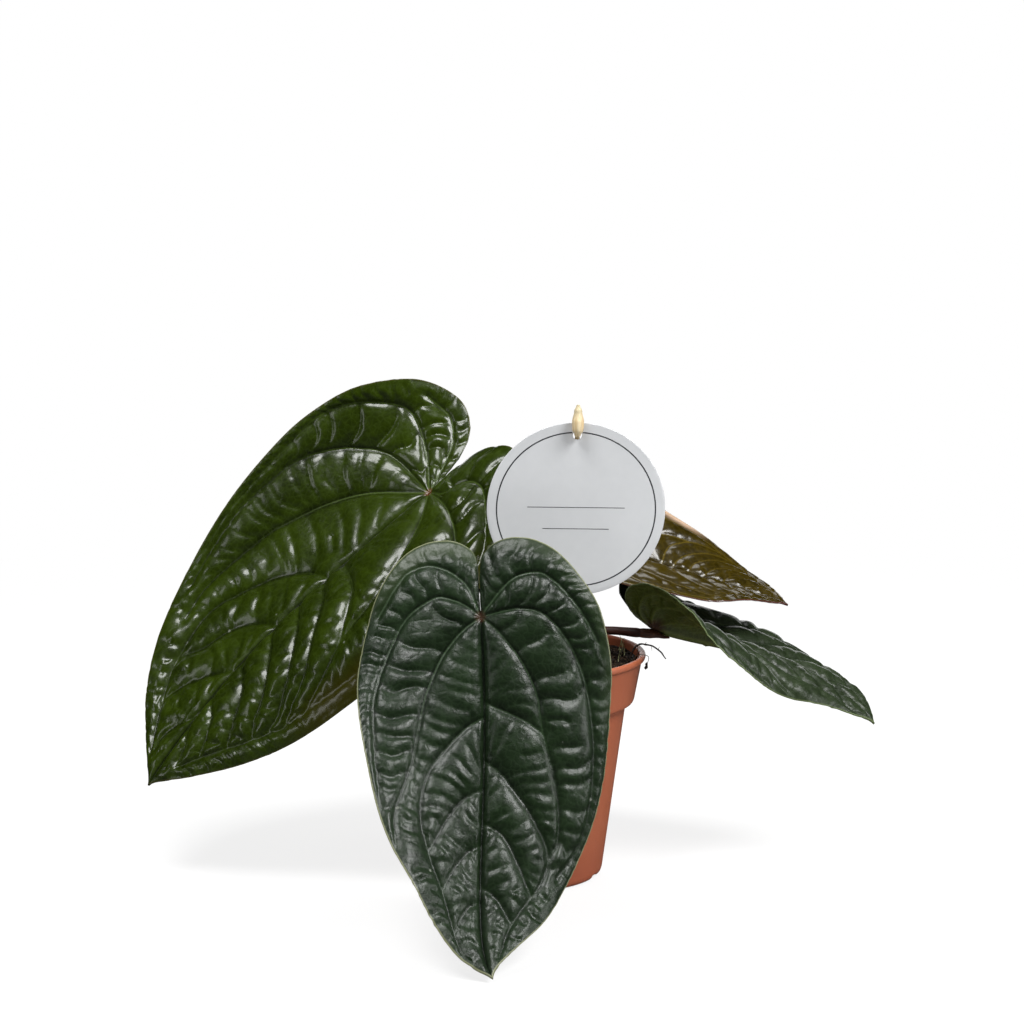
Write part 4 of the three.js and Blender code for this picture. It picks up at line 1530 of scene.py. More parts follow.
LEAF_FINISHES = {
    "front": LeafFinish(
        name="front_leaf", slot=Slot.DARK_LEAF, dark=(0.0024, 0.0060, 0.0018), light=(0.0090, 0.0200, 0.0062),
        vein=(0.042, 0.072, 0.034),
        margin=(0.20, 0.21, 0.12), blush=(0.022, 0.036, 0.012), joint=(0.05, 0.018, 0.008),
        under=(0.060, 0.100, 0.036), under_vein=(0.12, 0.16, 0.065),
        roughness=0.36, coat=0.04, specular=0.32, sheen=0.01, net=1.0,
    ),
    "left": LeafFinish(
        name="left_leaf", slot=Slot.GLOSS_LEAF, dark=(0.0060, 0.0105, 0.0004), light=(0.0215, 0.0370, 0.0008),
        vein=(0.070, 0.110, 0.020),
        margin=(0.050, 0.050, 0.012), blush=(0.030, 0.026, 0.001), joint=(0.12, 0.028, 0.008),
        under=(0.060, 0.095, 0.028), under_vein=(0.13, 0.17, 0.06),
        roughness=0.30, coat=0.45, specular=0.22, sheen=0.0, net=0.8,
    ),
    "low": LeafFinish(
        name="low_leaf", slot=Slot.DARK_LEAF, dark=(0.0070, 0.0115, 0.0045), light=(0.0215, 0.0325, 0.0135),
        vein=(0.060, 0.090, 0.045),
        margin=(0.10, 0.13, 0.055), blush=(0.050, 0.090, 0.040), joint=(0.05, 0.014, 0.008),
        under=(0.054, 0.074, 0.006), under_vein=(0.090, 0.115, 0.020),
        roughness=0.36, coat=0.04, specular=0.24, sheen=0.01, net=1.0,
    ),
    "high": LeafFinish(
        name="high_leaf", slot=Slot.BRONZE_LEAF, dark=(0.010, 0.0070, 0.0003), light=(0.034, 0.023, 0.0006),
        vein=(0.12, 0.085, 0.010),
        margin=(0.060, 0.018, 0.014), blush=(0.60, 0.42, 0.30), joint=(0.12, 0.04, 0.012),
        under=(0.12, 0.070, 0.022), under_vein=(0.20, 0.11, 0.040),
        roughness=0.30, coat=0.48, specular=0.18, sheen=0.0, net=0.7,
    ),
}


# Stems.

HOLE_FLOOR = 78.0
PEAT_TOP = 103.2


@dataclass(frozen=True)
class PetioleRoute:
    """A stalk: its foot beside the crown, its way, how it meets the blade, and its radius."""

    foot: Pair
    via: tuple[Point, ...]
    arrive: Point
    radius: float


PETIOLES = {
    "front": PetioleRoute(
        (-3.2, -9.0), ((-4.6, -15, 113), (-9, -38, 126), (-14, -66, 134.5)), (-0.2, -0.9, 0.22), 2.25
    ),
    "left": PetioleRoute(
        (-8.3, 4.8), ((-10, 6, 116), (-19, 10.5, 139), (-33, 16, 165)), (-0.5, 0.1, 0.82), 2.35
    ),
    "low": PetioleRoute(
        (9.5, -1.6), ((12.6, -1.5, 111.2), (24, -0.6, 115.8), (44, 0.4, 116.4)), (1, 0.05, -0.08), 2.0
    ),
    "high": PetioleRoute(
        (6.0, 7.4), ((8.2, 8.6, 113), (19, 13, 130), (35, 17.5, 143.5)), (0.75, 0.1, 0.62), 1.75
    ),
}


@dataclass
class Petiole:
    """A stalk with its swollen joint under the blade and a short sheath at its foot."""

    finishes: Finishes
    name: str
    route: PetioleRoute
    form: BladeForm
    sides: int = 24
    stations: int = 130
    joint: float = 7.0

    def build(self) -> None:
        """Makes the stalk and lets it stand for its CAD node."""
        r = self.route.radius
        d = unit(np.array(self.route.arrive, float))
        swell = r * 1.18
        end = self.form.petiole_end(swell, d)
        x, y = self.route.foot
        buried = [(x, y, HOLE_FLOOR + GAP), (x, y, 91), (x, y, PEAT_TOP)]
        path = [*buried, *self.route.via, tuple(end - d * self.joint), tuple(end)]
        radii = [r + 0.45, r + 0.45, r + 0.4, r, r, r, r, swell, swell]
        u = np.linspace(0, 1, self.stations)
        line = catmull_rom(path, u)
        radius = blend_radii(radii, u)
        foot = np.array([0.8, 2.5, 4.5, 7.0, 9.5])
        taper = swell * np.array([0.9, 0.72, 0.52, 0.34, 0.16])
        line = np.vstack([line, self.form.below(foot, taper)])
        radius = np.append(radius, taper)
        angle = turns(self.sides)
        groove = 1 - 0.09 * np.exp(-((np.sin((angle - 1.2) / 2) / 0.16) ** 2))
        ribs = 1 + 0.012 * np.sin(9 * angle)
        left = np.concatenate([1 - u, np.zeros(len(foot))])
        neck = 1 - 0.10 * np.exp(-(((left - 0.11) / 0.02) ** 2))
        squeeze = np.outer(neck, groove * ribs)
        shape = Shape()
        shape.add(**tube(line, radius, self.sides, squeeze))
        last = int(self.stations * 0.89) * self.sides
        shape.paints = [1 if min(face) >= last else 0 for face in shape.faces]
        stalk = shape.build(f"stalk_{self.name}", [self.finishes.petiole, self.finishes.joint])
        dress(stalk, Slot.PETIOLE, f"petiole_{self.name}")


@dataclass
class Crown:
    """The short stem, uneven with old leaf scars, and its torn brown sheaths."""

    finishes: Finishes
    radius: float = 5.0
    top: float = 113.0
    sides: int = 40
    stations: int = 90
    seed: int = 5
    # Each sheath's turn round the crown, the height of its foot and its own height.
    sheaths: tuple[Point, ...] = ((0.4, 99.0, 16.5), (2.3, 99.5, 14.0), (4.1, 99.0, 18.0), (5.4, 100, 12.0))

    def build(self) -> None:
        """Makes the crown and lets it stand for its CAD node."""
        r = self.radius
        profile = (
            (r - 0.8, HOLE_FLOOR + GAP), (r, 82), (r, 101.5), (r - 0.5, 103), (r - 0.1, 104.6),
            (r - 0.7, 106.4), (r - 0.5, 108), (r - 1.4, 110), (r - 2.6, 112), (0.6, self.top),
        )
        at = catmull_rom([(a, 0, b) for a, b in profile], np.linspace(0, 1, self.stations))
        radii, heights = at[:, 0], at[:, 2:3]
        angle = turns(self.sides)
        ones = np.ones_like(heights)
        rings = np.stack([ones * np.cos(angle), ones * np.sin(angle), heights * 0.12 + 0 * angle], -1)
        squeeze = 1 + 0.05 * noise(rings * 2.2, 1.0, self.seed, 3)
        shape = Shape()
        shape.add(**tube(heights * (0, 0, 1), np.maximum(radii, 0.4), self.sides, squeeze))
        for i, (turn, low, tall) in enumerate(self.sheaths):
            self._sheath(shape, turn, low, tall, i)
        dress(shape.build("crown_stem", [self.finishes.crown]), Slot.CROWN, "crown")

    def _sheath(self, shape: Shape, turn: float, low: float, tall: float, number: int) -> None:
        """A dry papery sheath that wraps part of the crown and ends in a ragged point.

        Args:
            shape: What it is added to.
            turn: The angle of its middle round the crown.
            low, tall: Height of its foot, and its own height.
            number: Which sheath it is, for its ragged edge.
        """
        rows, columns, thick = 16, 12, 0.25
        v, w = np.meshgrid(np.linspace(0, 1, rows), np.linspace(-1, 1, columns), indexing="ij")
        width = 1.05 * (1 - v**2.2) + 0.05
        ragged = noise(np.stack([w * 3, v * 4, np.full_like(v, number)], -1), 1.0, self.seed + number, 2)
        angle = turn + w * width * (1 + 0.06 * ragged)
        radius = self.radius + 0.45 + 1.3 * v**2 + 0.25 * np.abs(w) + 0.2 * ragged
        height = low + tall * v * (1 - 0.10 * np.abs(w)) + 0.4 * ragged * v
        sheets = []
        for r in (radius, radius - thick):
            sheets.append(np.stack([r * np.cos(angle), r * np.sin(angle), height], -1).reshape(-1, 3))
        count = rows * columns
        index = np.arange(count).reshape(rows, columns)
        outer = np.stack([index[:-1, :-1], index[:-1, 1:], index[1:, 1:], index[1:, :-1]], -1).reshape(-1, 4)
        border = np.concatenate([index[0], index[1:, -1], index[-1, -2::-1], index[-2:0:-1, 0]])
        after = np.roll(border, -1)
        rim = np.column_stack([after, border, border + count, after + count])
        faces = np.vstack([outer, outer[:, ::-1] + count, rim])
        stem = np.stack([angle.ravel() * 5, np.zeros(count), height.ravel()], -1) * MM
        shape.add(np.vstack(sheets), faces.tolist(), 0, stem=np.vstack([stem, stem]))


@dataclass
class Rootlings:
    """The loose aerial root over the pot's lip and the pale sprouts in the peat."""

    finishes: Finishes
    route: tuple[Point, ...] = (
        (50.5, -2, 97.5), (52.5, -2, 103.5), (55.2, -2.2, 109.2), (58.4, -2.6, 110.6), (62.2, -3.2, 110.0),
        (66.4, -3.6, 107.6), (69.4, -3.8, 103.6),
    )
    radii: tuple[float, ...] = (0.75, 0.7, 0.62, 0.6, 0.55, 0.5, 0.4)
    stations: int = 90
    hairs: tuple[int, ...] = (34, 50, 61, 72)
    sprouts: int = 9
    seed: int = 21

    def build(self) -> None:
        """Makes the root, which stands for its CAD node, and the sprouts."""
        u = np.linspace(0, 1, self.stations)
        line = catmull_rom(self.route, u)
        wiggle = noise(line, 3.0, 9, 2)[:, None] * np.array([0.12, 0.2, 0.2]) * smooth(0, 0.2, u)[:, None]
        radii = blend_radii(self.radii, u) * (0.74 + 0.12 * noise(line, 1.4, 12))
        shape = Shape()
        shape.add(**tube(line + wiggle, radii, 10))
        for i, start in enumerate(self.hairs):
            begin = line[start]
            lean = np.array([0.6 * math.sin(3 * i), -1.4 + 0.9 * i, 1.2 if i % 2 else -1.6])
            w = np.linspace(0, 1, 8)[:, None]
            hair = begin + lean * w * 1.3 + np.array([0.5, 0, -0.6]) * w**2
            shape.add(**tube(hair, np.linspace(0.16, 0.06, 8), 5))
        dress(shape.build("aerial_rootling", [self.finishes.root]), Slot.ROOT, "aerial_root")
        self._sprouts()

    def _sprouts(self) -> None:
        """Thin pale shoots of moss or weed that stand in the peat by the lip."""
        random = np.random.default_rng(self.seed)
        shape = Shape()
        for i in range(self.sprouts):
            angle = random.uniform(-0.35, 0.25) if i < 5 else random.uniform(0.6, 5.6)
            r = random.uniform(47, 53)
            foot = np.array([r * math.cos(angle), r * math.sin(angle), PEAT_TOP - 0.6])
            lean = random.normal(0, 1.6, 3) * (1, 1, 0)
            tall = random.uniform(6.0, 10.5)
            w = np.linspace(0, 1, 12)[:, None]
            sway = random.normal(0, 0.5, 3) * np.sin(5 * w) * (1, 1, 0)
            line = foot + np.array([0, 0, tall]) * w + lean * w**2 + sway
            shape.add(**tube(line, np.linspace(0.24, 0.09, 12), 6))
            tip = line[-1] + np.array([[0, 0, 0], [0.1, 0, 0.35], [0.15, 0, 0.8]])
            shape.add(**tube(tip, np.array([0.1, 0.3, 0.06]), 6))
        dress(shape.build("sprouts", [self.finishes.sprout]), Slot.PETIOLE)


# Pot and peat.


@dataclass
class Pot:
    """Tapered nursery pot with a stepped collar, rolled lip, notched foot and drain holes."""

    finishes: Finishes
    outside: Line = (
        (40.0, 3.6), (50.6, 81.6), (51.1, 82.7), (54.3, 83.9), (54.8, 85.0), (58.2, 103.1),
        (59.7, 104.1), (60.0, 105.1), (59.9, 106.1), (59.3, 106.8), (58.1, 106.8), (57.2, 105.9),
        (56.7, 103.4), (53.1, 85.0), (49.7, 83.6), (49.1, 82.4), (37.7, 4.2),
    )
    notches: int = 8
    notch_width: float = 8.4
    notch_height: float = 2.1
    notch_inner: float = 30.6
    boss_height: float = 3.9
    foot_radius: float = 38.0
    columns: int = 24
    notch_columns: int = 7
    notch_side: float = 0.35
    floor: float = 1.8
    easing: float = 0.3
    drain_radius: float = 2.6
    drain_at: float = 33.5

    def _foot(self, share: float) -> tuple[list[Pair], list[Pair]]:
        """The profile under the pot and on its floor.

        Args:
            share: 0 away from a notch, 1 inside it.

        Returns:
            Points below the outer wall, from the axis outwards, and points inside, from the wall to the axis.
        """
        lift = self.notch_height * share
        below = [
            (0.0, 0.0), (22.0, 0.0), (self.notch_inner - 0.5, 0.0), (self.notch_inner, lift * 0.15),
            (self.notch_inner + 0.3, lift * 0.85), (self.notch_inner + 1.0, lift), (36.6, lift),
            (38.4, max(lift, 0.45)), (39.4, max(lift + 0.1, 1.5)), (39.8, 2.6),
        ]
        floor = self.floor
        rise = (self.boss_height - floor) * share
        inside = [
            (36.6, floor + 0.7 + rise * 0.9), (34.8, floor + rise), (29.4, floor + rise),
            (28.4, floor + rise * 0.2), (0.0, floor),
        ]
        return below, inside

    def _rounded(self) -> list[Pair]:
        """The wall and lip with their corners eased by short arcs of points.

        Returns:
            The profile's points.
        """
        p = np.array(self.outside)
        made = [tuple(p[0])]
        for a, b, c in zip(p[:-2], p[1:-1], p[2:]):
            ease = self.easing * min(1.0, np.linalg.norm(b - a), np.linalg.norm(c - b))
            start, end = b - unit(b - a) * ease, b + unit(c - b) * ease
            for w in (0.0, 0.5, 1.0):
                made.append(tuple((1 - w) ** 2 * start + 2 * w * (1 - w) * b + w * w * end))
        made.append(tuple(p[-1]))
        return made

    def build(self) -> None:
        """Makes the pot and lets it stand for its CAD node."""
        half = math.asin(self.notch_width / 2 / self.foot_radius)
        pitch = 2 * math.pi / self.notches
        edge = self.notch_side / self.foot_radius
        inside = np.linspace(-half, half, self.notch_columns)
        outside = np.linspace(half + edge, pitch - half - edge, self.columns - self.notch_columns)
        angles, shares = [], []
        for i in range(self.notches):
            middle = pitch * (i + 0.5)
            angles += [*(middle + inside), *(middle + outside)]
            shares += [1.0] * len(inside) + [0.0] * len(outside)
        wall = self._rounded()
        profiles = {}
        for share in (0.0, 1.0):
            below, floor = self._foot(share)
            profiles[share] = np.array([*below[1:], *wall, *floor[:-1]])
        strips = []
        for turn, share in zip(angles, shares):
            r, z = profiles[share].T
            strips.append(np.column_stack([r * math.cos(turn), r * math.sin(turn), z]))
        rings = np.stack(strips, 1)
        shape = Shape()
        shape.add(np.vstack([rings.reshape(-1, 3), [[0, 0, 0], [0, 0, self.floor]]]), skin(*rings.shape[:2]))
        pot = shape.build("nursery_pot", [self.finishes.pot], sharp=40)
        self._drill(pot)
        dress(pot, Slot.POT, "pot")

    def _drill(self, pot: bpy.types.Object) -> None:
        """Cuts the drain holes with one boolean.

        Args:
            pot: The pot's object.
        """
        cutter = Shape()
        for i in range(self.notches):
            turn = 2 * math.pi * (i + 0.5) / self.notches
            x, y = self.drain_at * math.cos(turn), self.drain_at * math.sin(turn)
            post = tube(np.array([[x, y, -1.0], [x, y, 6.0]]), np.full(2, self.drain_radius), 24)
            cutter.add(post["points"], post["faces"])
        tool = cutter.build("drain_cutter", [])
        cut = pot.modifiers.new("drains", "BOOLEAN")
        cut.operation, cut.object, cut.solver = "DIFFERENCE", tool, "EXACT"
        bpy.context.view_layer.update()
        depsgraph = bpy.context.evaluated_depsgraph_get()
        drilled = bpy.data.meshes.new_from_object(pot.evaluated_get(depsgraph))
        pot.modifiers.clear()
        pot.data = drilled
        bpy.data.objects.remove(tool)


CORNERS = ((1, 0, 0), (-1, 0, 0), (0, 1, 0), (0, -1, 0), (0, 0, 1), (0, 0, -1))
SIDES = ((0, 2, 4), (2, 1, 4), (1, 3, 4), (3, 0, 4), (2, 0, 5), (1, 2, 5), (3, 1, 5), (0, 3, 5))


@dataclass
class Peat:
    """Peat with an uneven fibrous top, loose crumbs and fibres."""

    finishes: Finishes
    top: float = PEAT_TOP
    sides: int = 150
    rings: int = 58
    rim: float = 55.4
    wall: Line = (
        (26.5, 2.1), (28.2, 4.3), (36.9, 4.5), (48.7, 82.6), (49.35, 84.15), (52.35, 85.5), (54.8, 97.0),
    )
    crumbs: int = 1500
    fibres: int = 700
    hung: Point = (59.4, -17.0, 103.2)
    hung_crumbs: int = 14
    hair: tuple[Point, ...] = (
        (51.6, -16.2, 102.6), (54.4, -16.6, 107.4), (57.4, -17.0, 108.4), (60.4, -17.0, 107.4),
        (59.9, -17.0, 103.8),
    )
    seed: int = 17

    def __post_init__(self) -> None:
        """Starts the random numbers of what lies loose."""
        self.random = np.random.default_rng(self.seed)

    def height(self, x: Array, y: Array) -> Array:
        """Height of the peat's top.

        Args:
            x, y: Places across and to the back.

        Returns:
            One height for each place.
        """
        r = np.hypot(x, y)
        p = np.stack([x, y, np.zeros_like(x)], -1)
        lumps = 0.75 * noise(p, 11.0, self.seed) + 0.55 * np.abs(noise(p, 4.2, self.seed + 5, 2)) - 0.2
        fine = 0.42 * noise(p, 1.7, self.seed + 9, 2)
        return self.top + 1.2 * (1 - r / 56) + lumps + fine * smooth(56, 50, r)

    def build(self) -> None:
        """Makes the peat, which stands for its CAD node, and what lies loose on it."""
        n = self.sides
        angle = turns(n)
        rows = []
        for r, z in self.wall:
            rows.append(np.column_stack([r * np.cos(angle), r * np.sin(angle), np.full(n, z)]))
        for r in np.linspace(self.rim, 2.0, self.rings):
            jitter = 0.25 * noise(np.column_stack([angle * 9, np.full(n, r), angle * 0]), 1.0, 3)
            rr = r + (jitter if r < self.rim - 0.4 else 0)
            x, y = rr * np.cos(angle), rr * np.sin(angle)
            rows.append(np.column_stack([x, y, self.height(x, y)]))
        middle = float(self.height(np.zeros(1), np.zeros(1))[0])
        points = np.vstack([*rows, [[0, 0, self.wall[0][1]], [0, 0, middle]]])
        shape = Shape()
        shape.add(points, skin(len(rows), n))
        dress(shape.build("peat_bed", [self.finishes.peat]), Slot.PEAT, "soil")
        self._loose()

    def _spot(self, reach: float) -> Array:
        """A random place on the peat's top.

        Args:
            reach: How far from the middle it may be.

        Returns:
            The place.
        """
        r, turn = reach * math.sqrt(self.random.uniform(0.01, 1)), self.random.uniform(0, 2 * math.pi)
        x, y = r * math.cos(turn), r * math.sin(turn)
        return np.array([x, y, float(self.height(np.array([x]), np.array([y]))[0])])

    def _loose(self) -> None:
        """Crumbs and fibres that lie on the peat, and some crumbs that hang on a hair outside the lip."""
        shape = Shape()
        for _ in range(self.crumbs):
            self._crumb(shape)
        for _ in range(self.fibres):
            self._fibre(shape)
        for _ in range(self.hung_crumbs):
            lump = np.array(CORNERS, float) * self.random.uniform(0.4, 0.9, 3) + self.hung
            shape.add(lump + self.random.normal(0, 0.8, 3) * (0.3, 0.6, 1.2), SIDES)
        hair = tube(catmull_rom(self.hair, np.linspace(0, 1, 24)), np.full(24, 0.16), 5)
        shape.add(hair["points"], hair["faces"], 1)
        dress(shape.build("peat_litter", [self.finishes.peat, self.finishes.fibre], sharp=30), Slot.PEAT)

    def _crumb(self, shape: Shape) -> None:
        """One crumb on the peat; one in six has the fibres' colour.

        Args:
            shape: What it is added to.
        """
        random = self.random
        size = random.uniform(0.35, 1.0) * random.uniform(0.6, 1.5)
        stretch = random.uniform(0.6, 1.6, 3) * size
        turn = np.linalg.qr(random.normal(0, 1, (3, 3)))[0]
        lump = (np.array(CORNERS, float) * stretch * random.uniform(0.75, 1.25, (6, 1))) @ turn
        lump = lump + self._spot(53.5) + (0, 0, 0.25 * size)
        shape.add(lump, SIDES, int(random.integers(0, 6) == 0))

    def _fibre(self, shape: Shape) -> None:
        """One fibre on the peat; two in three have the fibres' colour.

        Args:
            shape: What it is added to.
        """
        random = self.random
        start = self._spot(52.5)
        turn = random.uniform(0, 2 * math.pi)
        length = random.uniform(3.0, 10.0)
        w = np.linspace(0, 1, 7)
        bend = turn + random.normal(0, 0.25) * w * 3
        x, y = start[0] + length * w * np.cos(bend), start[1] + length * w * np.sin(bend)
        inside = np.minimum(1, 54.5 / np.maximum(np.hypot(x, y), 1e-6))
        x, y = x * inside, y * inside
        lift = random.uniform(0.1, 1.5) * np.sin(np.pi * w) + 0.2
        line = np.column_stack([x, y, self.height(x, y) + lift])
        if np.min(np.linalg.norm(np.diff(line, axis=0), axis=1)) < 0.05:
            return
        fibre = tube(line, np.full(7, random.uniform(0.1, 0.26)), 4)
        shape.add(fibre["points"], fibre["faces"], int(random.integers(0, 3) > 0))


# Tag.


@dataclass
class Tag:
    """The round hang tag: bare card with a thin ring and two write-on rules, and the pick that holds it."""

    finishes: Finishes
    radius: float = 40.3
    thick: float = 0.8
    hole: float = 2.05
    hole_up: float = 34.5
    place: Point = (25.6, -42.0, 180.5)
    lean: float = 0.12
    turn: float = 0.012
    sides: int = 240
    ring: float = 35.9
    ring_width: float = 0.62
    ring_steps: int = 360
    rules: tuple[Pair, ...] = ((1.0, 22.0), (-9.0, 15.0))
    rule_width: float = 0.34
    proud: float = 0.02
    sunk: float = 0.03
    pick_radius: float = 1.9
    neck: float = 1.0
    head: float = 2.75
    pick_foot: float = 42.0
    pick_sides: int = 28

    def on_tag(self, x: Array, forward: Array, up: Array) -> Array:
        """Places given on the tag's own plane, in the object's frame.

        Args:
            x: Across, to the right.
            forward: Out of the front.
            up: Up from the middle.

        Returns:
            The points.
        """
        x, forward, up = (np.asarray(v, float) for v in (x, forward, up))
        ct, st = math.cos(self.turn), math.sin(self.turn)
        cl, sl = math.cos(self.lean), math.sin(self.lean)
        px, py, pz = x * ct + up * st, -forward, -x * st + up * ct
        return np.stack([px, py * cl - pz * sl, py * sl + pz * cl], -1) + self.place

    def _bow(self, x: Array, up: Array) -> Array:
        """How far the card bends forward: a little at its top and lower left."""
        return 0.55 * smooth(18, 40, up) * (up / 40) ** 2 + 0.35 * ((x / 40) ** 2) * smooth(10, -40, up)

    def build(self) -> None:
        """Makes the card, its print and the pick."""
        self._card()
        self._pick()

    def _card(self) -> None:
        """The punched card as a grid between the hole and the edge, and its print."""
        n = self.sides
        angle = turns(n)
        hx, hy = self.hole * np.cos(angle), self.hole_up + self.hole * np.sin(angle)
        ex, ey = self.radius * np.cos(angle), self.radius * np.sin(angle)
        front, back = [], []
        for w in (0.0, 0.03, 0.08, 0.16, 0.28, 0.42, 0.56, 0.7, 0.82, 0.91, 0.97, 0.992, 1.0):
            x, up = hx + (ex - hx) * w, hy + (ey - hy) * w
            half = self.thick / 2 - (0.12 if w in (0.0, 1.0) else 0.0)
            bow = self._bow(x, up)
            front.append(self.on_tag(x, half + bow, up))
            back.append(self.on_tag(x, -half + bow, up))
        rows = [*front, *reversed(back)]
        faces = []
        for i in range(len(rows)):
            j = (i + 1) % len(rows)
            for a in range(n):
                b = (a + 1) % n
                faces.append((i * n + a, j * n + a, j * n + b, i * n + b))
        shape = Shape()
        shape.add(np.vstack(rows), faces)
        dress(shape.build("hang_tag", [self.finishes.card], sharp=35), Slot.CARD, "tag")
        self._print()

    def _print(self) -> None:
        """The thin ring and two plain write-on rules, a hair proud of the card."""
        shape = Shape()
        gap = math.asin((self.hole + 0.25) / self.ring)
        sweep = np.linspace(math.pi / 2 + gap, math.pi / 2 + 2 * math.pi - gap, self.ring_steps)
        above = self.thick / 2 + self.proud
        edges = []
        for side in (-0.5, 0.5):
            r = self.ring + side * self.ring_width
            x, up = r * np.cos(sweep), r * np.sin(sweep)
            edges.append(self.on_tag(x, above + self._bow(x, up), up))
        self._ribbon(shape, *edges)
        for at, half in self.rules:
            x = np.linspace(-half, half, 40)
            up = np.full_like(x, at)
            forward = above + self._bow(x, up)
            half_width = self.rule_width / 2
            edges = [self.on_tag(x, forward, up + side) for side in (half_width, -half_width)]
            self._ribbon(shape, *edges)
        dress(shape.build("tag_print", [self.finishes.ink]), Slot.CARD)

    def _ribbon(self, shape: Shape, left: Array, right: Array) -> None:
        """A flat printed strip with its own thin underside.

        Args:
            shape: What it is added to.
            left, right: Points of its edges.
        """
        n = len(left)
        sink = self.on_tag(0, -self.sunk, 0) - self.on_tag(0, 0, 0)
        points = np.vstack([left, right, left + sink, right + sink])
        faces = []
        for i in range(n - 1):
            a, b, c, d = i, i + 1, n + i + 1, n + i
            faces += [(a, d, c, b), (a + 2 * n, b + 2 * n, c + 2 * n, d + 2 * n)]
            faces += [(a, b, b + 2 * n, a + 2 * n), (d, d + 2 * n, c + 2 * n, c)]
        for i in (0, n - 1):
            faces.append((i, n + i, 3 * n + i, 2 * n + i) if i else (0, 2 * n, 3 * n, n))
        shape.add(points, faces)

    def _pick(self) -> None:
        """The whittled stick: behind the card, forward through its hole, and a pointed head."""
        back = -(self.thick / 2 + GAP + self.pick_radius)

        def on(forward: float, up: float) -> Point:
            """A place on the tag's upright middle line."""
            return tuple(float(v) for v in self.on_tag(0.0, forward, up))

        foot, low = on(back, -100), on(back, -60)
        path = [
            (foot[0] + 0.2, low[1] + 4.0, self.pick_foot), (low[0] + 0.2, low[1] + 2.0, 84),
            on(back, -42), on(back, 0), on(back, 22), on(back, 29.5), on(-1.9, 33.2), on(0, self.hole_up),
            on(2.2, 35.6), on(3.5, 38.2), on(3.6, 41.5), on(3.3, 46), on(3.1, 49),
        ]
        r, neck, head = self.pick_radius, self.neck, self.head
        radii = [1.3, r, r, r, r, r * 0.85, neck + 0.1, neck, 1.6, head - 0.1, head, 1.9, 0.8]
        u = np.linspace(0, 1, 220)
        angle = turns(self.pick_sides)
        facets = 1 - 0.045 * np.abs(np.sin(2.5 * angle + 0.4))
        flat_head = smooth(0.66, 0.72, u)[:, None]
        squeeze = facets[None] * (1 - 0.12 * flat_head * np.abs(np.sin(angle))[None])
        shape = Shape()
        shape.add(**tube(catmull_rom(path, u), blend_radii(radii, u), self.pick_sides, squeeze))
        dress(shape.build("bamboo_pick", [self.finishes.bamboo], sharp=50), Slot.BAMBOO, "tag_pick")


# Studio.


@dataclass(frozen=True)
class Softbox:
    """A rectangular lamp that looks at a point of the plant."""

    name: str
    place: Point
    aim: Point
    size: Pair
    power: float

    def build(self) -> None:
        """Adds the lamp to the scene."""
        lamp = bpy.data.lights.new(self.name, "AREA")
        lamp.shape = "RECTANGLE"
        lamp.size, lamp.size_y = self.size
        lamp.energy = self.power
        made = bpy.data.objects.new(self.name, lamp)
        made.location = self.place
        made.rotation_euler = (Vector(self.aim) - Vector(self.place)).to_track_quat("-Z", "Y").to_euler()
        bpy.context.scene.collection.objects.link(made)


LAMPS = (
    Softbox("key_overhead", (-0.40, -0.50, 1.25), (-0.05, -0.03, 0.10), (0.50, 0.45), 15.0),
    Softbox("strip_left", (-1.20, -0.55, 0.45), (-0.03, -0.03, 0.12), (0.20, 0.7), 2.0),
    Softbox("key_right", (0.70, -0.60, 1.05), (0.02, -0.04, 0.12), (0.45, 0.45), 18.0),
    Softbox("side_right", (1.25, -0.25, 0.35), (0.02, 0.0, 0.08), (0.30, 0.6), 5.0),
    Softbox("top_back", (0.10, 0.55, 1.25), (-0.02, 0.0, 0.15), (0.6, 0.4), 4.0),
    Softbox("back_low", (0.0, 1.40, 0.28), (0.0, 0.0, 0.12), (1.4, 0.5), 5.0),
)


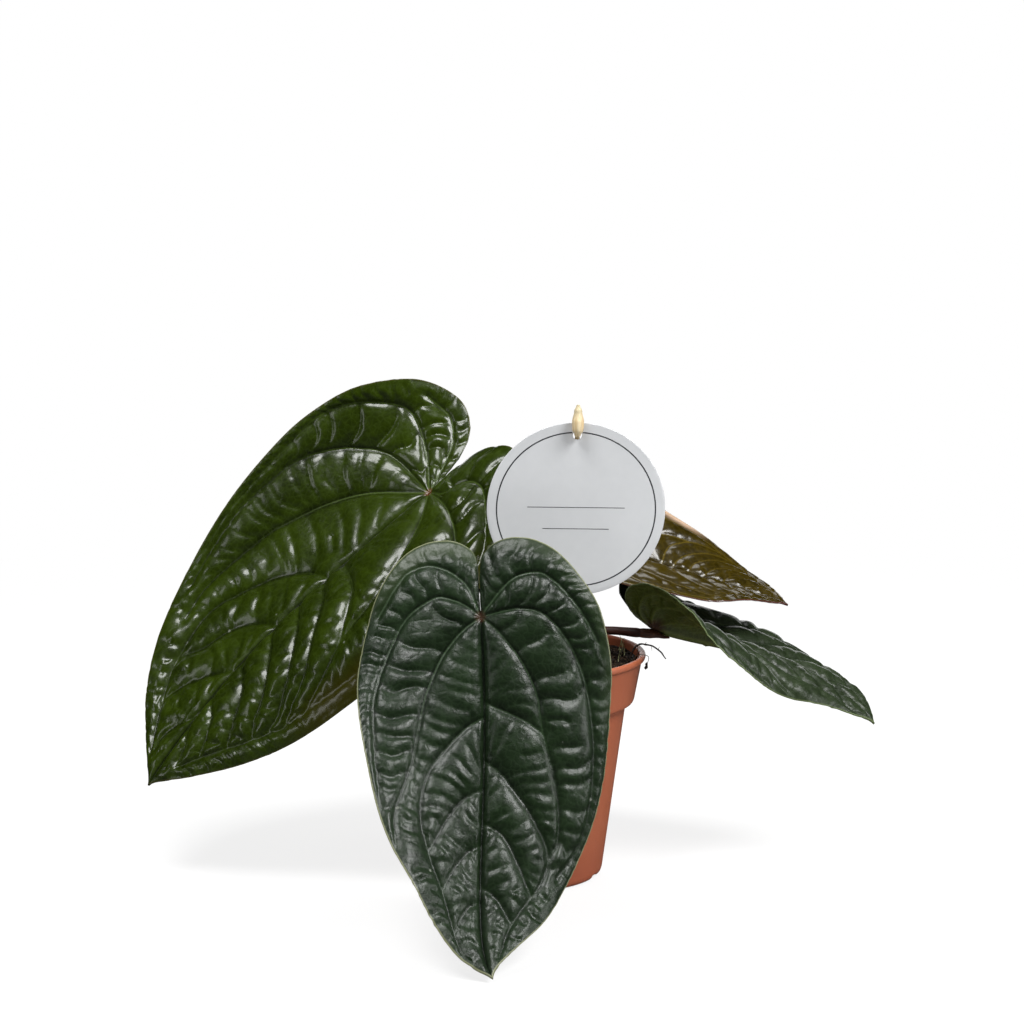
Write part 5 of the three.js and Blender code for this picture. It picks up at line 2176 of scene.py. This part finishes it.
@dataclass
class Studio:
    """Pale floor, soft lamps and the camera at the photograph's viewing angle."""

    camera_place: Point = (-0.0033, -1.0853, 0.3306)
    pitch: float = 0.144
    focal_pixels: float = 2333.0
    frame_pixels: float = 1024.0
    sensor: float = 36.0
    clip: Pair = (0.05, 60.0)
    background: float = 1.0
    floor_lift: float = 0.78
    ambient: float = 0.13
    mirrored: float = 0.0
    floor_half: float = 20.0
    floor_drop: float = 0.0001

    def build(self) -> None:
        """Makes the camera, the floor, the world and the lamps."""
        scene = bpy.context.scene
        lens = bpy.data.cameras.new("camera")
        lens.sensor_width = self.sensor
        lens.lens = self.focal_pixels / self.frame_pixels * self.sensor
        lens.clip_start, lens.clip_end = self.clip
        camera = bpy.data.objects.new("camera", lens)
        camera.location = self.camera_place
        camera.rotation_euler = (math.pi / 2 - self.pitch, 0, 0)
        scene.collection.objects.link(camera)
        scene.camera = camera
        scene.view_settings.view_transform = "Standard"
        scene.view_settings.look = "None"
        self._world()
        self._floor()
        for lamp in LAMPS:
            lamp.build()

    def _world(self) -> None:
        """White to the camera, even light on everything, and a dark room for the gloss to mirror."""
        world = bpy.data.worlds.new("studio")
        bpy.context.scene.world = world
        world.use_nodes = True
        world.node_tree.nodes.clear()
        g = Graph(world.node_tree)
        path = g.node("ShaderNodeLightPath").outputs
        mirrored = g.times(path["Is Glossy Ray"], self.mirrored - self.ambient)
        seen = g.times(path["Is Camera Ray"], self.background - self.ambient)
        level = g.plus(g.plus(mirrored, self.ambient), seen)
        shade = g.node("ShaderNodeBackground", {"Color": (1.0, 1.0, 1.0, 1.0), "Strength": level})
        g.node("ShaderNodeOutputWorld", {"Surface": shade.outputs[0]})

    def _floor(self) -> None:
        """A wide plain floor, a hair under the pot, that turns into an even white sweep further out.

        The camera sees it a little lighter than its light makes it, and gloss sees it dim, like the room.
        """
        s = Surface.new("floor", Roughness=0.85, Specular_IOR_Level=0.0, Emission_Color=(1, 1, 1, 1))
        g = s.graph
        at = g.place()
        away = g.node("ShaderNodeVectorMath", {0: at}, operation="LENGTH").outputs["Value"]
        far = g.ramp(away, 0.3, 1.0)
        near = g.mix(g.noise(at, 3.0, 2.0), (0.48,) * 3, (0.50,) * 3)
        path = g.node("ShaderNodeLightPath").outputs
        colour = g.mix(path["Is Camera Ray"], near, (0.22,) * 3)
        colour = g.mix(path["Is Glossy Ray"], colour, (0.05,) * 3)
        s.feed("Base Color", g.mix(far, colour, (0.0,) * 3))
        lifted = g.plus(g.times(far, self.background - self.floor_lift), self.floor_lift)
        s.feed("Emission Strength", g.times(lifted, path["Is Camera Ray"]))
        reach = self.floor_half / MM
        shape = Shape()
        shape.add(reach * np.array([(-1, -1, 0), (1, -1, 0), (1, 1, 0), (-1, 1, 0)]), [(0, 1, 2, 3)])
        floor = shape.build("floor", [s.material])
        floor.location.z = -self.floor_drop
        floor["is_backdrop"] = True


def corners() -> list[list[float]]:
    """The shown object's box as two plain lists."""
    return [[float(c) for c in corner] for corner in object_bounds()]


def main() -> None:
    """Builds the plant, its pot and the studio."""
    logging.basicConfig(level=logging.INFO, format="%(name)s %(message)s")
    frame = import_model()
    log.info("frame with %d nodes", len(frame["nodes"]))
    Studio().build()
    effects = Effects()
    finishes = Finishes(effects)
    for name, shape in LEAF_SHAPES.items():
        leaf = Leaf(name, shape, LEAF_FINISHES[name])
        leaf.build(effects)
        Petiole(finishes, name, PETIOLES[name], leaf.form).build()
    for piece in (Crown, Rootlings, Pot, Peat, Tag):
        piece(finishes).build()


if __name__ == "__main__":
    main()
